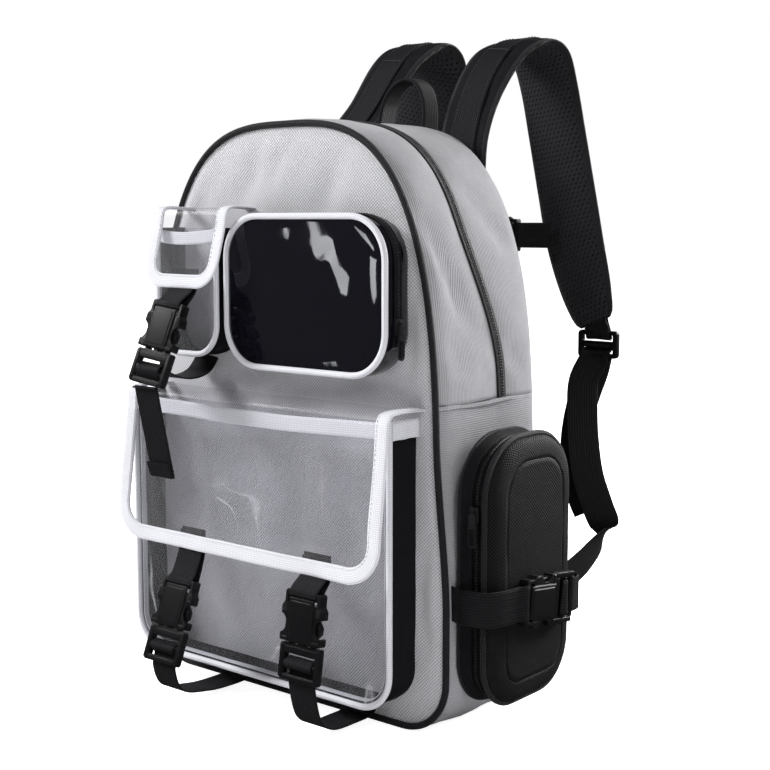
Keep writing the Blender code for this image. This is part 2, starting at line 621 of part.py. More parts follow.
# side, its sign in x, centre line, share of the webbing's outward swing
for side, sign, line, swing in (
    ("right", 1, SHOULDER_RIGHT, 1.0),
    ("left", -1, SHOULDER_LEFT, 0.4),
):
    angles = [SHOULDER_TURN * sign * share for share in SHOULDER_SHARES]
    ribbon("shoulder_strap_" + side, [station[:3] for station in line],
           [(math.cos(a), -math.sin(a), 0) for a in angles],
           width=[station[3] for station in line], thickness=SHOULDER_T, mat=BLACK)

    adjuster_x = line[-1][0] + 0.003 * sign
    outline = rounded(-ADJUSTER_HALF_W, ADJUSTER_HALF_W, -ADJUSTER_HALF_H, ADJUSTER_HALF_H,
                      r_bottom=0.003, r_top=0.003, steps=3)
    adjuster = plate("adjuster_" + side, outline, ADJUSTER_T, PLASTIC, ADJUSTER_SLOTS)
    stand(adjuster, 0.1775, adjuster_x, 0.2710)

    run = [(adjuster_x + x * sign * (swing if x > 0 else 1), y, z) for x, y, z in WEBBING_RUN]
    run.append((WEBBING_END[0] * sign, *WEBBING_END[1:]))
    angles = [WEBBING_TWIST * share for share in TWIST_SHARES]
    ribbon("strap_webbing_" + side, run, [(math.cos(a), 0, math.sin(a) * sign) for a in angles])

# sternum strap between the two shoulder straps, with a smaller buckle, its plug end to the left
STERNUM_Y, STERNUM_Z = 0.1660, 0.3620
STERNUM_WEB = 0.022
turn = Matrix(((0, 0, 1), (0, -1, 0), (1, 0, 0))).to_4x4()
frame = Matrix.Translation((0.0280, STERNUM_Y, STERNUM_Z)) @ turn
buckle("sternum_buckle", frame, gap=1.6, scale=0.74)
# points as x, y behind the buckle's
for side, stations in (
    ("right", ((0.0604, 0), (0.0740, 0.0004), (0.0900, 0.0030))),
    ("left", ((0.0025, 0), (-0.0300, 0.0016), (-0.0600, 0.0010), (-0.0760, 0.0024))),
):
    path = [(x, STERNUM_Y + behind, STERNUM_Z) for x, behind in stations]
    ribbon("sternum_strap_" + side, path, ALONG_Z, width=STERNUM_WEB)

# ---------------------------------------------------------------- carry handle
HANDLE_X, HANDLE_Y, HANDLE_Z = 0.009, 0.0745, 0.4530    # middle of the line between its feet
HANDLE_HALF, HANDLE_RISE, HANDLE_LEAN = 0.0240, 0.0370, 0.006
HANDLE_STEPS = 12

path = []
for i in range(HANDLE_STEPS + 1):
    c = math.cos(math.pi * i / HANDLE_STEPS)
    s = math.sin(math.pi * i / HANDLE_STEPS)
    # drawn in a little towards the top, and square-shouldered
    x = HANDLE_X - HANDLE_HALF * c * (1.0 - 0.08 * s)
    path.append((x, HANDLE_Y + HANDLE_LEAN * s, HANDLE_Z + HANDLE_RISE * s**0.8))
ribbon("carry_handle", path, ALONG_Y, width=0.0190, thickness=0.0030)

for obj in PARTS.objects:
    if obj.type == "MESH":
        obj.data.shade_smooth()
        obj.data.set_sharp_from_angle(angle=math.radians(35))
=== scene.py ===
"""A grey canvas backpack with clear and patent front pockets, a side pouch and padded straps.

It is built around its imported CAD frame. Metres, +Z up, foot at z = 0. The front faces -Y;
right is +X and left is -X, as seen from the front.
"""
from contextlib import contextmanager
import math

import bmesh
import bpy
import numpy as np
from mathutils import Matrix, Vector, noise

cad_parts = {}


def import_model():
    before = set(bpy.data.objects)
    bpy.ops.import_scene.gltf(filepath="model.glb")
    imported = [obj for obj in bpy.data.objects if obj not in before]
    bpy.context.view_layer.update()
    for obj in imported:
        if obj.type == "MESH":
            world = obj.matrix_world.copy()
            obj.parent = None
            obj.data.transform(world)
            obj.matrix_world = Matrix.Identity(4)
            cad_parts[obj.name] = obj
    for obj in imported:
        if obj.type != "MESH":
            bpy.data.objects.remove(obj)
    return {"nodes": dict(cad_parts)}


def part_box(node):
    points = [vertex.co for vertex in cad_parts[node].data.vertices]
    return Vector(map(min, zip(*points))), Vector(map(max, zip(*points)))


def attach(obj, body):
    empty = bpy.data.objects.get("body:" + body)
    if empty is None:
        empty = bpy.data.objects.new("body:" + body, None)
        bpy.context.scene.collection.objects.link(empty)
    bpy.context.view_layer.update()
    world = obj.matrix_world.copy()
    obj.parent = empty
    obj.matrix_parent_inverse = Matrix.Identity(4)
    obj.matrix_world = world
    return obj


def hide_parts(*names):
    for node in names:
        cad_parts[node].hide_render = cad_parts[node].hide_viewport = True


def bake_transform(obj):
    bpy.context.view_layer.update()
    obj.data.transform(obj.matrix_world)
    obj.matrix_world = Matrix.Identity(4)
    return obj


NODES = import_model()["nodes"]
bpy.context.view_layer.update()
rad = math.radians


def assign(piece, slot, ride=None, replaces="", blend=None):
    """Parents a piece to the empty of the body it moves with, hides the CAD pieces it replaces, and
    bakes its transform when given a blend. The slot is not used.
    """
    if ride:
        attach(piece, ride)
    if replaces:
        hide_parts(*replaces.split())
    if blend:
        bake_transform(piece)


# =============================================================== node materials
def operator(kind, swapped=False):
    def apply(own, other):
        pair = (other, own) if swapped else (own, other)
        return own.shader.math(kind, *pair)
    return apply


class Signal:
    """A shader output that takes arithmetic; each operator adds one math node."""

    def __init__(self, shader, socket):
        self.shader, self.socket = shader, socket

    __add__, __radd__ = operator("ADD"), operator("ADD", True)
    __sub__, __rsub__ = operator("SUBTRACT"), operator("SUBTRACT", True)
    __mul__, __truediv__ = operator("MULTIPLY"), operator("DIVIDE")
    __mod__, __pow__ = operator("MODULO"), operator("POWER")

    def __abs__(self):
        return self.shader.math("ABSOLUTE", self)

    def clamped(self):
        """Clamps the math node that makes this signal to 0..1."""
        self.socket.node.use_clamp = True
        return self


class Shader:
    """A node material. UVs are metres along and across each piece."""

    def __init__(self, name):
        self.material = bpy.data.materials.new(name)
        self.material.use_nodes = True
        self.tree = self.material.node_tree

    def put(self, socket, value):
        if isinstance(value, Signal):
            self.tree.links.new(value.socket, socket)
        elif isinstance(value, tuple) and len(value) == 3 and socket.type == "RGBA":
            socket.default_value = (*value, 1.0)
        else:
            socket.default_value = value

    def node(self, kind, inputs=None, output=0, **props):
        """Adds a node, fills its inputs (by name or index) and returns one output."""
        node = self.tree.nodes.new(kind)
        for key, value in props.items():
            setattr(node, key, value)
        for key, value in (inputs or {}).items():
            self.put(node.inputs[key], value)
        return Signal(self, node.outputs[output])

    def math(self, op, first, second=0.0):
        return self.node("ShaderNodeMath", {0: first, 1: second}, operation=op)

    def place(self):
        return self.node("ShaderNodeTexCoord", output="Object")

    def axis(self, vector, index):
        return self.node("ShaderNodeSeparateXYZ", {0: vector}, output=index)

    def uv_xy(self):
        x = self.axis(self.node("ShaderNodeUVMap"), 0)
        return x, Signal(self, x.socket.node.outputs[1])

    def scaled(self, vector, factors):
        return self.node("ShaderNodeVectorMath", {0: vector, 1: factors}, operation="MULTIPLY")

    def dot(self, first, second):
        return self.node("ShaderNodeVectorMath", {0: first, 1: second}, "Value",
                         operation="DOT_PRODUCT")

    def normal(self):
        return self.node("ShaderNodeNewGeometry", output="Normal")

    def noise(self, vector, scale, detail=2.0, rough=0.5, distort=0.0):
        return self.node("ShaderNodeTexNoise", {
            "Vector": vector, "Scale": scale, "Detail": detail,
            "Roughness": rough, "Distortion": distort}, "Fac")

    def ramp(self, factor, *stops):
        """Grey ramp through two (position, value) stops."""
        ramp = self.node("ShaderNodeValToRGB", {0: factor})
        for element, (position, value) in zip(ramp.socket.node.color_ramp.elements, stops):
            element.position = position
            element.color = (value, value, value, 1)
        return ramp

    def mix(self, factor, first, second):
        return self.node("ShaderNodeMix", {0: factor, 6: first, 7: second}, 2, data_type="RGBA")

    def mix_shaders(self, factor, first, second):
        return self.node("ShaderNodeMixShader", {0: factor, 1: first, 2: second})

    def wave(self, value, period, phase=0.0):
        """0.5 + 0.5 sin(2 pi value / period + phase)"""
        return self.math("SINE", value * (2 * math.pi / period) + phase) * 0.5 + 0.5

    def bump(self, height, strength, distance, normal=None):
        inputs = {"Strength": strength, "Distance": distance, "Height": height}
        if normal is not None:
            inputs["Normal"] = normal
        return self.node("ShaderNodeBump", inputs)

    def principled(self, **inputs):
        """Sets inputs of the Principled node, spaces written as underscores."""
        node = self.tree.nodes["Principled BSDF"]
        for name, value in inputs.items():
            self.put(node.inputs[name.replace("_", " ")], value)
        return self.material

    def surface(self, shader):
        self.put(self.tree.nodes["Material Output"].inputs[0], shader)
        return self.material


def tinted(colour, factor):
    return tuple(c * factor for c in colour)


def canvas(name, base, pitch, ribbed, turned=False):
    """Coarse canvas: a pebbled plain weave, or ribs that may be turned a quarter."""
    g = Shader(name)
    place = g.place()
    x, y = g.uv_xy()
    wobble = (g.noise(place, scale=260) - 0.5) * 0.0006
    x, y = x + wobble, y + wobble
    if ribbed:
        weft, rib = g.wave(x, pitch), g.wave(y, pitch)
        if turned:
            weft, rib = rib, weft
        weave = rib * 0.75 + weft * rib * 0.35
        dark, light, strength = 0.70, 1.12, 0.35
    else:
        turns = 2 * math.pi / pitch
        weave = g.math("SINE", x * turns) * g.math("SINE", y * turns) * 0.5 + 0.5
        dark, light, strength = 0.34, 1.42, 0.8
    height = weave * 0.8 + g.noise(place, scale=900, detail=3, rough=0.6) * 0.35
    blotch = g.noise(place, scale=14, detail=4, rough=0.55)
    fine = g.noise(place, scale=120, detail=3, rough=0.6)
    colour = g.mix(height, tinted(base, dark), tinted(base, light))
    colour = g.mix((1.0 - blotch) * 0.22, colour, tinted(base, 0.72))
    colour = g.mix(fine * 0.12, colour, (0.80, 0.80, 0.84))
    # darker and mottled towards the foot
    low = g.ramp(g.axis(place, 2) * 10.0, (0.0, 0.10), (0.25, 0.0))
    colour = g.mix(low * g.noise(place, scale=45, detail=4), colour, (0.30, 0.29, 0.28))
    soft = g.bump(g.noise(place, scale=26, detail=3), strength=0.35, distance=0.004)
    return g.principled(
        Base_Color=colour, Roughness=0.82, Sheen_Weight=0.08, Sheen_Roughness=0.5,
        Specular_IOR_Level=0.25,
        Normal=g.bump(height, strength=strength, distance=0.0009, normal=soft))


def black_cloth(name, base, pitch, rough, relief, specular, sheen):
    g = Shader(name)
    place = g.place()
    x, y = g.uv_xy()
    fuzz = g.noise(place, scale=800, detail=3, rough=0.6)
    height = g.wave(x, pitch) * g.wave(y, pitch) + fuzz * 0.5
    colour = g.mix(height, tinted(base, 0.5), tinted(base, 2.1))
    colour = g.mix(g.noise(place, scale=40, detail=3) * 0.25, colour, tinted(base, 2.6))
    soft = g.bump(g.noise(place, scale=40, detail=3), strength=0.25, distance=0.002)
    return g.principled(
        Base_Color=colour, Roughness=fuzz * 0.2 + (rough - 0.1), Sheen_Weight=sheen,
        Sheen_Roughness=0.45, Specular_IOR_Level=specular,
        Normal=g.bump(height, strength=relief, distance=0.0005, normal=soft))


def webbing(name):
    """Woven strap: ribs along its length and a herringbone across."""
    g = Shader(name)
    base = (0.0055, 0.0055, 0.0064)
    place = g.place()
    x, y = g.uv_xy()
    rib = g.wave(x, period=0.0021)
    zigzag = abs(g.math("FRACT", x * (1 / 0.0042)) - 0.5)
    pick = g.wave(y + zigzag * 0.0016, period=0.0011)
    fuzz = g.noise(place, scale=1100, rough=0.6)
    height = rib * 0.55 + (pick * 0.35 + fuzz * 0.2)
    soft = g.bump(g.noise(place, scale=60), strength=0.2, distance=0.0015)
    return g.principled(
        Base_Color=g.mix(height, tinted(base, 0.45), tinted(base, 2.6)),
        Roughness=fuzz * 0.25 + 0.42, Sheen_Weight=0.01, Sheen_Roughness=0.4,
        Specular_IOR_Level=0.18,
        Normal=g.bump(height, strength=0.6, distance=0.0006, normal=soft))


def air_mesh(name):
    """Spacer mesh: staggered rows of small slanted holes."""
    g = Shader(name)
    column, row = 0.0046, 0.0038     # hole pitches
    place = g.place()
    x, y = g.uv_xy()
    stagger = abs(g.math("FLOOR", y / row)) % 2.0 * 0.5
    hole_x = g.math("FRACT", x / column + stagger) - 0.5
    hole_y = g.math("FRACT", y / row) - 0.5
    slant = hole_y + hole_x * 0.55
    reach = g.math("SQRT", hole_x * hole_x + slant * slant * 2.2)
    solid = g.ramp(reach, (0.16, 0.0), (0.34, 1.0))
    height = solid + g.noise(place, scale=1000, rough=0.6) * 0.25
    soft = g.bump(g.noise(place, scale=35), strength=0.3, distance=0.003)
    return g.principled(
        Base_Color=g.mix(solid, (0.002, 0.002, 0.003), (0.022, 0.022, 0.025)),
        Roughness=0.62, Sheen_Weight=0.02, Sheen_Roughness=0.4, Specular_IOR_Level=0.12,
        Normal=g.bump(height, strength=1.0, distance=0.0016, normal=soft))


def white_tape(name):
    """White woven binding."""
    g = Shader(name)
    place = g.place()
    x, y = g.uv_xy()
    weave = g.wave(x, period=0.0016) * g.wave(y, period=0.0016)
    blotch = g.noise(place, scale=60, detail=3)
    colour = g.mix(weave, (0.57, 0.57, 0.61), (0.84, 0.84, 0.87))
    colour = g.mix(blotch * 0.22, colour, (0.48, 0.48, 0.55))
    return g.principled(
        Base_Color=colour, Roughness=0.6, Sheen_Weight=0.15, Specular_IOR_Level=0.35,
        Normal=g.bump(weave + blotch * 2.0, strength=0.35, distance=0.0006))


def clear_vinyl(name, tint, haze, rough, shine=1.0):
    """Thin clear film: mostly see-through, mirror-like at a glance, hazy and creased, with faint painted
    highlights along its creases.
    """
    g = Shader(name)
    place = g.place()
    swell = g.noise(g.scaled(place, (1.0, 1.0, 0.55)), scale=24, detail=3, distort=0.8)
    crease = g.noise(g.scaled(place, (1.0, 1.0, 0.35)), scale=60, detail=4, rough=0.6,
                     distort=1.2)
    normal = g.bump(swell + crease * 0.05, strength=0.20, distance=0.0022)
    clear = g.node("ShaderNodeBsdfTransparent", {0: tint})
    gloss = g.node("ShaderNodeBsdfGlossy", {"Roughness": rough, "Normal": normal})
    diffuse = g.node("ShaderNodeBsdfDiffuse", {0: (0.80, 0.81, 0.84)})

    surface_normal = g.normal()
    incoming = Signal(g, surface_normal.socket.node.outputs["Incoming"])
    facing = g.dot(surface_normal, incoming)
    graze = (1.0 - abs(facing)).clamped() ** 4.0
    mirror = (0.045 * shine + graze * (0.55 * shine)).clamped()

    # faint white hairlines in the haze, in random patches: painted highlights along the film's creases
    lines = abs(g.noise(g.scaled(place, (1.0, 1.0, 0.45)), scale=17, detail=1, rough=0.4,
                        distort=0.6) - 0.5)
    patches = g.ramp(g.noise(place, scale=13, detail=1), (0.56, 0.0), (0.66, 1.0))
    painted_crease_highlight = g.ramp(lines, (0.0, 1.0), (0.012, 0.0)) * patches
    cloud = haze * 0.7 + g.ramp(swell, (0.45, 0.0), (0.75, 1.0)) * (haze * 0.6)
    body = g.mix_shaders((painted_crease_highlight * 0.30 + cloud).clamped(), clear, diffuse)
    return g.surface(g.mix_shaders(mirror, body, gloss))


def patent(name):
    g = Shader(name)
    place = g.place()
    swell = g.noise(g.scaled(place, (1.0, 0.4, 0.6)), scale=16, rough=0.4, distort=0.6)
    pits = g.bump(g.noise(place, scale=420), strength=0.01, distance=0.0003)
    return g.principled(
        Base_Color=(0.0035, 0.0035, 0.0060), Specular_IOR_Level=0.6,
        Roughness=0.012 + g.noise(place, scale=30, detail=3) * 0.025,
        Coat_Weight=0.4, Coat_Roughness=0.012,
        Normal=g.bump(swell, strength=0.07, distance=0.003, normal=pits))


def plastic(name):
    """Moulded plastic: fine grain, and paler at its edges, a painted edge highlight."""
    g = Shader(name)
    place = g.place()
    grain = g.noise(place, scale=1500)
    edge = g.node("ShaderNodeBevel", {"Radius": 0.0009}, samples=2)
    flat = g.dot(edge, g.normal())
    # paler where the bevelled normal turns away at the edges, broken up by noise: painted edge highlight
    painted_edge_highlight = ((1.0 - flat) * g.noise(place, scale=160, detail=3)).clamped()
    return g.principled(
        Base_Color=g.mix((painted_edge_highlight * 1.6).clamped(), (0.0042, 0.0042, 0.0050),
                         (0.055, 0.055, 0.058)),
        Roughness=0.30 + g.noise(place, scale=90, detail=3) * 0.16, Specular_IOR_Level=0.30,
        Normal=g.bump(grain, strength=0.10, distance=0.0003, normal=edge))


def zip_coil(name):
    """Close rows of teeth across a band."""
    g = Shader(name)
    tooth = g.wave(g.uv_xy()[1], period=0.0022)
    return g.principled(
        Base_Color=g.mix(tooth, (0.0025, 0.0025, 0.003), (0.016, 0.016, 0.018)),
        Roughness=0.5, Specular_IOR_Level=0.35,
        Normal=g.bump(tooth, strength=0.7, distance=0.0008))


def enamel(name):
    g = Shader(name)
    place = g.place()
    worn = g.ramp(g.noise(place, scale=260, detail=4, rough=0.6), (0.60, 0.0), (0.72, 1.0))
    return g.principled(
        Base_Color=g.mix(worn, (0.055, 0.055, 0.058), (0.24, 0.23, 0.22)), Metallic=0.85,
        Roughness=0.28 + g.noise(place, scale=120) * 0.2,
        Normal=g.bump(g.noise(place, scale=700), strength=0.08, distance=0.0003))


def thread(name, colour):
    g = Shader(name)
    ply = g.noise(g.place(), scale=2600)
    return g.principled(Base_Color=g.mix(ply, tinted(colour, 0.6), colour), Roughness=0.55,
                        Normal=g.bump(ply, strength=0.5, distance=0.0002))


def eva_skin(name):
    """Moulded foam faced with a tight diagonal net."""
    g = Shader(name)
    place = g.place()
    x, y = g.uv_xy()
    net = g.wave(x + y, period=0.0028) * g.wave(x - y, period=0.0028)
    height = net * 0.9 + g.noise(place, scale=900) * 0.2
    soft = g.bump(g.noise(place, scale=30), strength=0.15, distance=0.002)
    return g.principled(
        Base_Color=g.mix(height, (0.0012, 0.0012, 0.0016), (0.020, 0.020, 0.022)),
        Roughness=0.6, Sheen_Weight=0.01, Specular_IOR_Level=0.15,
        Normal=g.bump(height, strength=0.6, distance=0.0007, normal=soft))


GREY = canvas("canvas_front", (0.515, 0.511, 0.534), pitch=0.0026, ribbed=False)
# the side and base use the arch's ribbed canvas a little darker: painted shade on the lower gusset
GREY_SIDE_SHADED = canvas("canvas_side", (0.310, 0.308, 0.326), pitch=0.0016, ribbed=True)
GREY_ARCH = canvas("canvas_arch", (0.330, 0.328, 0.346), pitch=0.0015, ribbed=True, turned=True)
LINING = black_cloth("lining", (0.016, 0.016, 0.019), pitch=0.0014, rough=0.7, relief=0.3,
                     specular=0.2, sheen=0.03)
NYLON = black_cloth("black_nylon", (0.0058, 0.0055, 0.0068), pitch=0.0014, rough=0.55,
                    relief=0.9, specular=0.14, sheen=0.0)
PIPING = black_cloth("black_piping", (0.0075, 0.0075, 0.009), pitch=0.0013, rough=0.6,
                     relief=0.6, specular=0.35, sheen=0.08)
RIBKNIT = black_cloth("pocket_gusset", (0.0050, 0.0050, 0.0060), pitch=0.0016, rough=0.75,
                      relief=0.12, specular=0.10, sheen=0.0)
WEBBING = webbing("webbing")
MESH = air_mesh("air_mesh")
WHITE = white_tape("white_binding")
CLEAR = clear_vinyl("clear_film", tint=(0.83, 0.83, 0.85), haze=0.06, rough=0.09)
CLEAR_FLAP = clear_vinyl("clear_flap", tint=(0.91, 0.91, 0.925), haze=0.07, rough=0.22,
                         shine=0.35)
PATENT = patent("patent_vinyl")
PLASTIC = plastic("moulded_plastic")
COIL = zip_coil("zip_coil")
ENAMEL = enamel("zip_enamel")
THREAD_LIGHT = thread("thread_light", (0.62, 0.62, 0.66))
THREAD_WHITE = thread("thread_white", (0.80, 0.80, 0.86))
THREAD_BLACK = thread("thread_black", (0.05, 0.05, 0.055))
EVA = eva_skin("eva_skin")


# =============================================================== curve helpers
def smooth01(t):
    t = min(1.0, max(0.0, t))
    return t * t * (3 - 2 * t)


def ripple(x, y, z, frequency, seed):
    return noise.noise(Vector((x * frequency + seed, y * frequency + seed * 1.7,
                               z * frequency - seed)))


def lengths(points):
    """Distance run at each point of a polyline."""
    steps = np.linalg.norm(np.diff(np.asarray(points, float), axis=0), axis=1)
    return np.concatenate([[0], np.cumsum(steps)])


def interpolate(at, stations, table):
    """Each column of a table, read between its stations."""
    return np.stack([np.interp(at, stations, column) for column in np.asarray(table).T], -1)


def even(points, step):
    run = lengths(points)
    count = max(2, int(round(run[-1] / step)) + 1)
    return interpolate(np.linspace(0, run[-1], count), run, points)


def resample(points, step):
    """A smooth curve (centripetal Catmull-Rom) through the points, sampled evenly."""
    P = [np.array(p, float) for p in points]
    P = [2 * P[0] - P[1]] + P + [2 * P[-1] - P[-2]]
    curve = []
    for i in range(1, len(P) - 2):
        p0, p1, p2, p3 = P[i - 1:i + 3]
        count = max(2, int(np.linalg.norm(p2 - p1) / step * 3))
        knots = [0]
        for a, b in ((p0, p1), (p1, p2), (p2, p3)):
            knots.append(knots[-1] + max(1e-6, np.linalg.norm(b - a)) ** 0.5)
        t0, t1, t2, t3 = knots
        for j in range(count):
            t = t1 + (t2 - t1) * j / count
            a1 = (t1 - t) / (t1 - t0) * p0 + (t - t0) / (t1 - t0) * p1
            a2 = (t2 - t) / (t2 - t1) * p1 + (t - t1) / (t2 - t1) * p2
            a3 = (t3 - t) / (t3 - t2) * p2 + (t - t2) / (t3 - t2) * p3
            b1 = (t2 - t) / (t2 - t0) * a1 + (t - t0) / (t2 - t0) * a2
            b2 = (t3 - t) / (t3 - t1) * a2 + (t - t1) / (t3 - t1) * a3
            curve.append((t2 - t) / (t2 - t1) * b1 + (t - t1) / (t2 - t1) * b2)
    curve.append(P[-2])
    return even(np.array(curve), step)


def unit(vectors):
    return vectors / (np.linalg.norm(vectors, axis=1)[:, None] + 1e-12)


def tangents(points, closed=False):
    t = np.gradient(points, axis=0)
    if closed:
        t[0] = t[-1] = points[1] - points[-2]
    return unit(t)


def frames(path, across, closed=False):
    """Unit vectors across and out from a path."""
    t = tangents(path, closed)
    a = np.broadcast_to(np.asarray(across, float), path.shape).copy()
    a = unit(a - (a * t).sum(1)[:, None] * t)
    return a, np.cross(a, t)


def ring_normals(ring, closed=True):
    """Outward normals of an anticlockwise outline."""
    t = tangents(ring, closed)
    return np.stack([t[:, 1], -t[:, 0]], 1)


def soften(normals, passes):
    """Evens out normals round a ring so that offsets stay smooth."""
    for _ in range(passes):
        normals = unit((normals + np.roll(normals, 1, 0) + np.roll(normals, -1, 0)) / 3)
    return normals


def quarter(cx, cz, radius, start, steps):
    """A quarter circle from an angle in degrees."""
    angles = [rad(start + 90 * i / steps) for i in range(steps + 1)]
    return [(cx + radius * math.cos(a), cz + radius * math.sin(a)) for a in angles]


def rounded_box(x0, x1, z0, z1, r, step=0.003, top_r=None):
    """Closed anticlockwise outline from the middle of its lowest side."""
    q = r if top_r is None else top_r
    points = [((x0 + x1) / 2, z0)]
    points += quarter(x1 - r, z0 + r, r, -90, 12) + quarter(x1 - q, z1 - q, q, 0, 12)
    points += quarter(x0 + q, z1 - q, q, 90, 12) + quarter(x0 + r, z0 + r, r, 180, 12)
    points.append(points[0])
    return even(np.array(points), step)


def open_ring(x0, x1, z0, z1, r, step=0.003):
    """A U from the upper left corner down and round to the upper right."""
    points = [(x0, z1), *quarter(x0 + r, z0 + r, r, 180, 14),
              *quarter(x1 - r, z0 + r, r, 270, 14), (x1, z1)]
    return even(np.array(points), step)


def close_mouth(ring, count):
    """A U-shaped ring closed across its mouth."""
    start, end = ring[-1], ring[0]
    top = np.array([start + (end - start) * t for t in np.linspace(0, 1, count)])
    return np.concatenate([ring, top[1:]])


# =============================================================== mesh helpers
@contextmanager
def editing(mesh):
    bm = bmesh.new()
    bm.from_mesh(mesh)
    yield bm
    bm.to_mesh(mesh)
    bm.free()


def weld(bm):
    bmesh.ops.remove_doubles(bm, verts=bm.verts, dist=2e-5)


def close_up(bm):
    """Fills open ends and turns all faces outward."""
    open_edges = [e for e in bm.edges if e.is_boundary]
    if open_edges:
        bmesh.ops.holes_fill(bm, edges=open_edges, sides=0)
    bmesh.ops.recalc_face_normals(bm, faces=bm.faces)


def shade(o, sharp_angle):
    o.data.shade_smooth()
    o.data.set_sharp_from_angle(angle=rad(sharp_angle))


def link_object(name, mesh):
    o = bpy.data.objects.new(name, mesh)
    bpy.context.scene.collection.objects.link(o)
    return o


def mesh_object(name, vertices, faces, uvs, materials, face_materials=None, welded=True):
    mesh = bpy.data.meshes.new(name)
    mesh.from_pydata([tuple(v) for v in vertices], [], [tuple(f) for f in faces])
    layer = mesh.uv_layers.new(name="UVMap")
    loop_uvs = np.array([uvs[i] for f in faces for i in f], float)
    layer.data.foreach_set("uv", loop_uvs.reshape(-1))
    for material in (materials if isinstance(materials, list) else [materials]):
        mesh.materials.append(material)
    if face_materials is not None:
        mesh.polygons.foreach_set("material_index", face_materials)
    mesh.shade_smooth()
    o = link_object(name, mesh)
    if welded:
        with editing(mesh) as bm:
            weld(bm)
    return o


def grid(name, points, uvs, materials, face_materials=None, welded=True):
    """A surface through an (n, m, 3) array of points, with metric UVs (n, m, 2)."""
    points, uvs = np.asarray(points, float), np.asarray(uvs, float)
    n, m = points.shape[:2]
    index = np.arange(n * m).reshape(n, m)
    corners = [index[:-1, :-1], index[1:, :-1], index[1:, 1:], index[:-1, 1:]]
    faces = np.stack(corners, -1).reshape(-1, 4)
    if face_materials is not None:
        face_materials = np.asarray(face_materials, int).reshape(-1)
    return mesh_object(name, points.reshape(-1, 3), faces.tolist(), uvs.reshape(-1, 2).tolist(),
                       materials, face_materials, welded)


def bake(o):
    """Applies the modifiers of an object to its mesh."""
    bpy.context.view_layer.update()
    evaluated = o.evaluated_get(bpy.context.evaluated_depsgraph_get())
    mesh = bpy.data.meshes.new_from_object(evaluated)
    o.modifiers.clear()
    old = o.data
    o.data = mesh
    if old.users == 0:
        bpy.data.meshes.remove(old)
    return o


def thicken(o, thickness, lined=False, centred=False):
    """Gives a sheet thickness, inward or to both sides; lined uses its second material."""
    m = o.modifiers.new("thickness", "SOLIDIFY")
    m.thickness = thickness
    m.offset = 0.0 if centred else -1.0
    m.use_even_offset = centred
    m.material_offset = int(lined)
    return bake(o)


def outward(o, centre=(0, 0, 0.22)):
    """Makes an open sheet's faces look away from a point."""
    c = Vector(centre)
    with editing(o.data) as bm:
        if sum(f.calc_area() * f.normal.dot(f.calc_center_median() - c) for f in bm.faces) < 0:
            bmesh.ops.reverse_faces(bm, faces=bm.faces)
    return o


def sweep(name, path, across, section, material, closed=False):
    """Sweeps a closed section of (across, out, u) points along a path."""
    path = np.asarray(path, float)
    a, n = frames(path, across, closed)
    run = lengths(path)
    points = [[path[i] + a[i] * x + n[i] * y for x, y, _ in section] for i in range(len(path))]
    uvs = [[(u, v) for _, _, u in section] for v in run]
    o = grid(name, points, uvs, material, welded=False)
    with editing(o.data) as bm:
        weld(bm)
        if closed:
            bmesh.ops.recalc_face_normals(bm, faces=bm.faces)
        else:
            close_up(bm)
    shade(o, 50)
    return o


def strap_section(width, thickness, n=10):
    """Flat strap with rounded edges: u runs across its faces in metres."""
    h, e = thickness / 2, width / 2
    points = []
    for side in (1, -1):
        for i in range(n + 1):
            x = side * (-e + h + (width - thickness) * i / n)
            points.append((x, side * h, x))
        for x, y in ((e - h * 0.3, h * 0.75), (e, 0.0), (e - h * 0.3, -h * 0.75)):
            points.append((side * x, side * y, side * e))
    return points + [points[0]]


def cord(name, path, radius, material, across=(0, 1, 0), closed=False, n=10):
    points = []
    for i in range(n):
        a = 2 * math.pi * i / n
        points.append((radius * math.cos(a), radius * math.sin(a), radius * a))
    points.append((*points[0][:2], radius * 2 * math.pi))
    return sweep(name, path, across, points, material, closed)


WEB = 0.026     # width of the webbing


def strap(name, points, across, thickness, step, width=WEB, **where):
    """Webbing along a smooth path. across is one vector, or a list with one per point."""
    path = resample(points, step)
    if isinstance(across, list):
        coarse, fine = lengths(points), lengths(path)
        across = interpolate(fine / fine[-1], coarse / coarse[-1], np.array(across, float))
    o = sweep(name, path, across, strap_section(width, thickness), WEBBING)
    assign(o, "black_webbing", **where)


def stitches(name, path, normal, material, pitch=0.0034, length=0.0024, radius=0.00032,
             lift=0.0002):
    """Small thread dashes laid along a path."""
    path = np.asarray(path, float)
    run = lengths(path)
    normals = np.broadcast_to(np.asarray(normal, float), path.shape)
    sides, sunk = 5, -0.0002
    vertices, faces, uvs = [], [], []
    for i in range(int(run[-1] / pitch)):
        start = pitch * (i + 0.5) - length / 2
        p0, p1 = interpolate(start, run, path), interpolate(start + length, run, path)
        up = interpolate(start, run, normals)
        along = p1 - p0
        if np.linalg.norm(along) < 1e-7:
            continue
        along /= np.linalg.norm(along)
        side = np.cross(along, up)
        side /= np.linalg.norm(side) + 1e-12
        up = np.cross(side, along)
        base = len(vertices)
        inset = along * length * 0.2
        for q, k, rise in ((p0, 0.35, sunk), (p0 + inset, 1, lift), (p1 - inset, 1, lift),
                           (p1, 0.35, sunk)):
            for j in range(sides):
                a = 2 * math.pi * j / sides
                vertices.append(q + up * (rise + radius * k * math.sin(a))
                                + side * radius * k * math.cos(a))
                uvs.append((a * radius, start))
        for first in range(base, base + 3 * sides, sides):
            for j in range(sides):
                k = (j + 1) % sides
                faces.append((first + j, first + k, first + sides + k, first + sides + j))
        faces.append(tuple(base + j for j in reversed(range(sides))))
        faces.append(tuple(base + 3 * sides + j for j in range(sides)))
    return mesh_object(name, vertices, faces, uvs, material, welded=False)


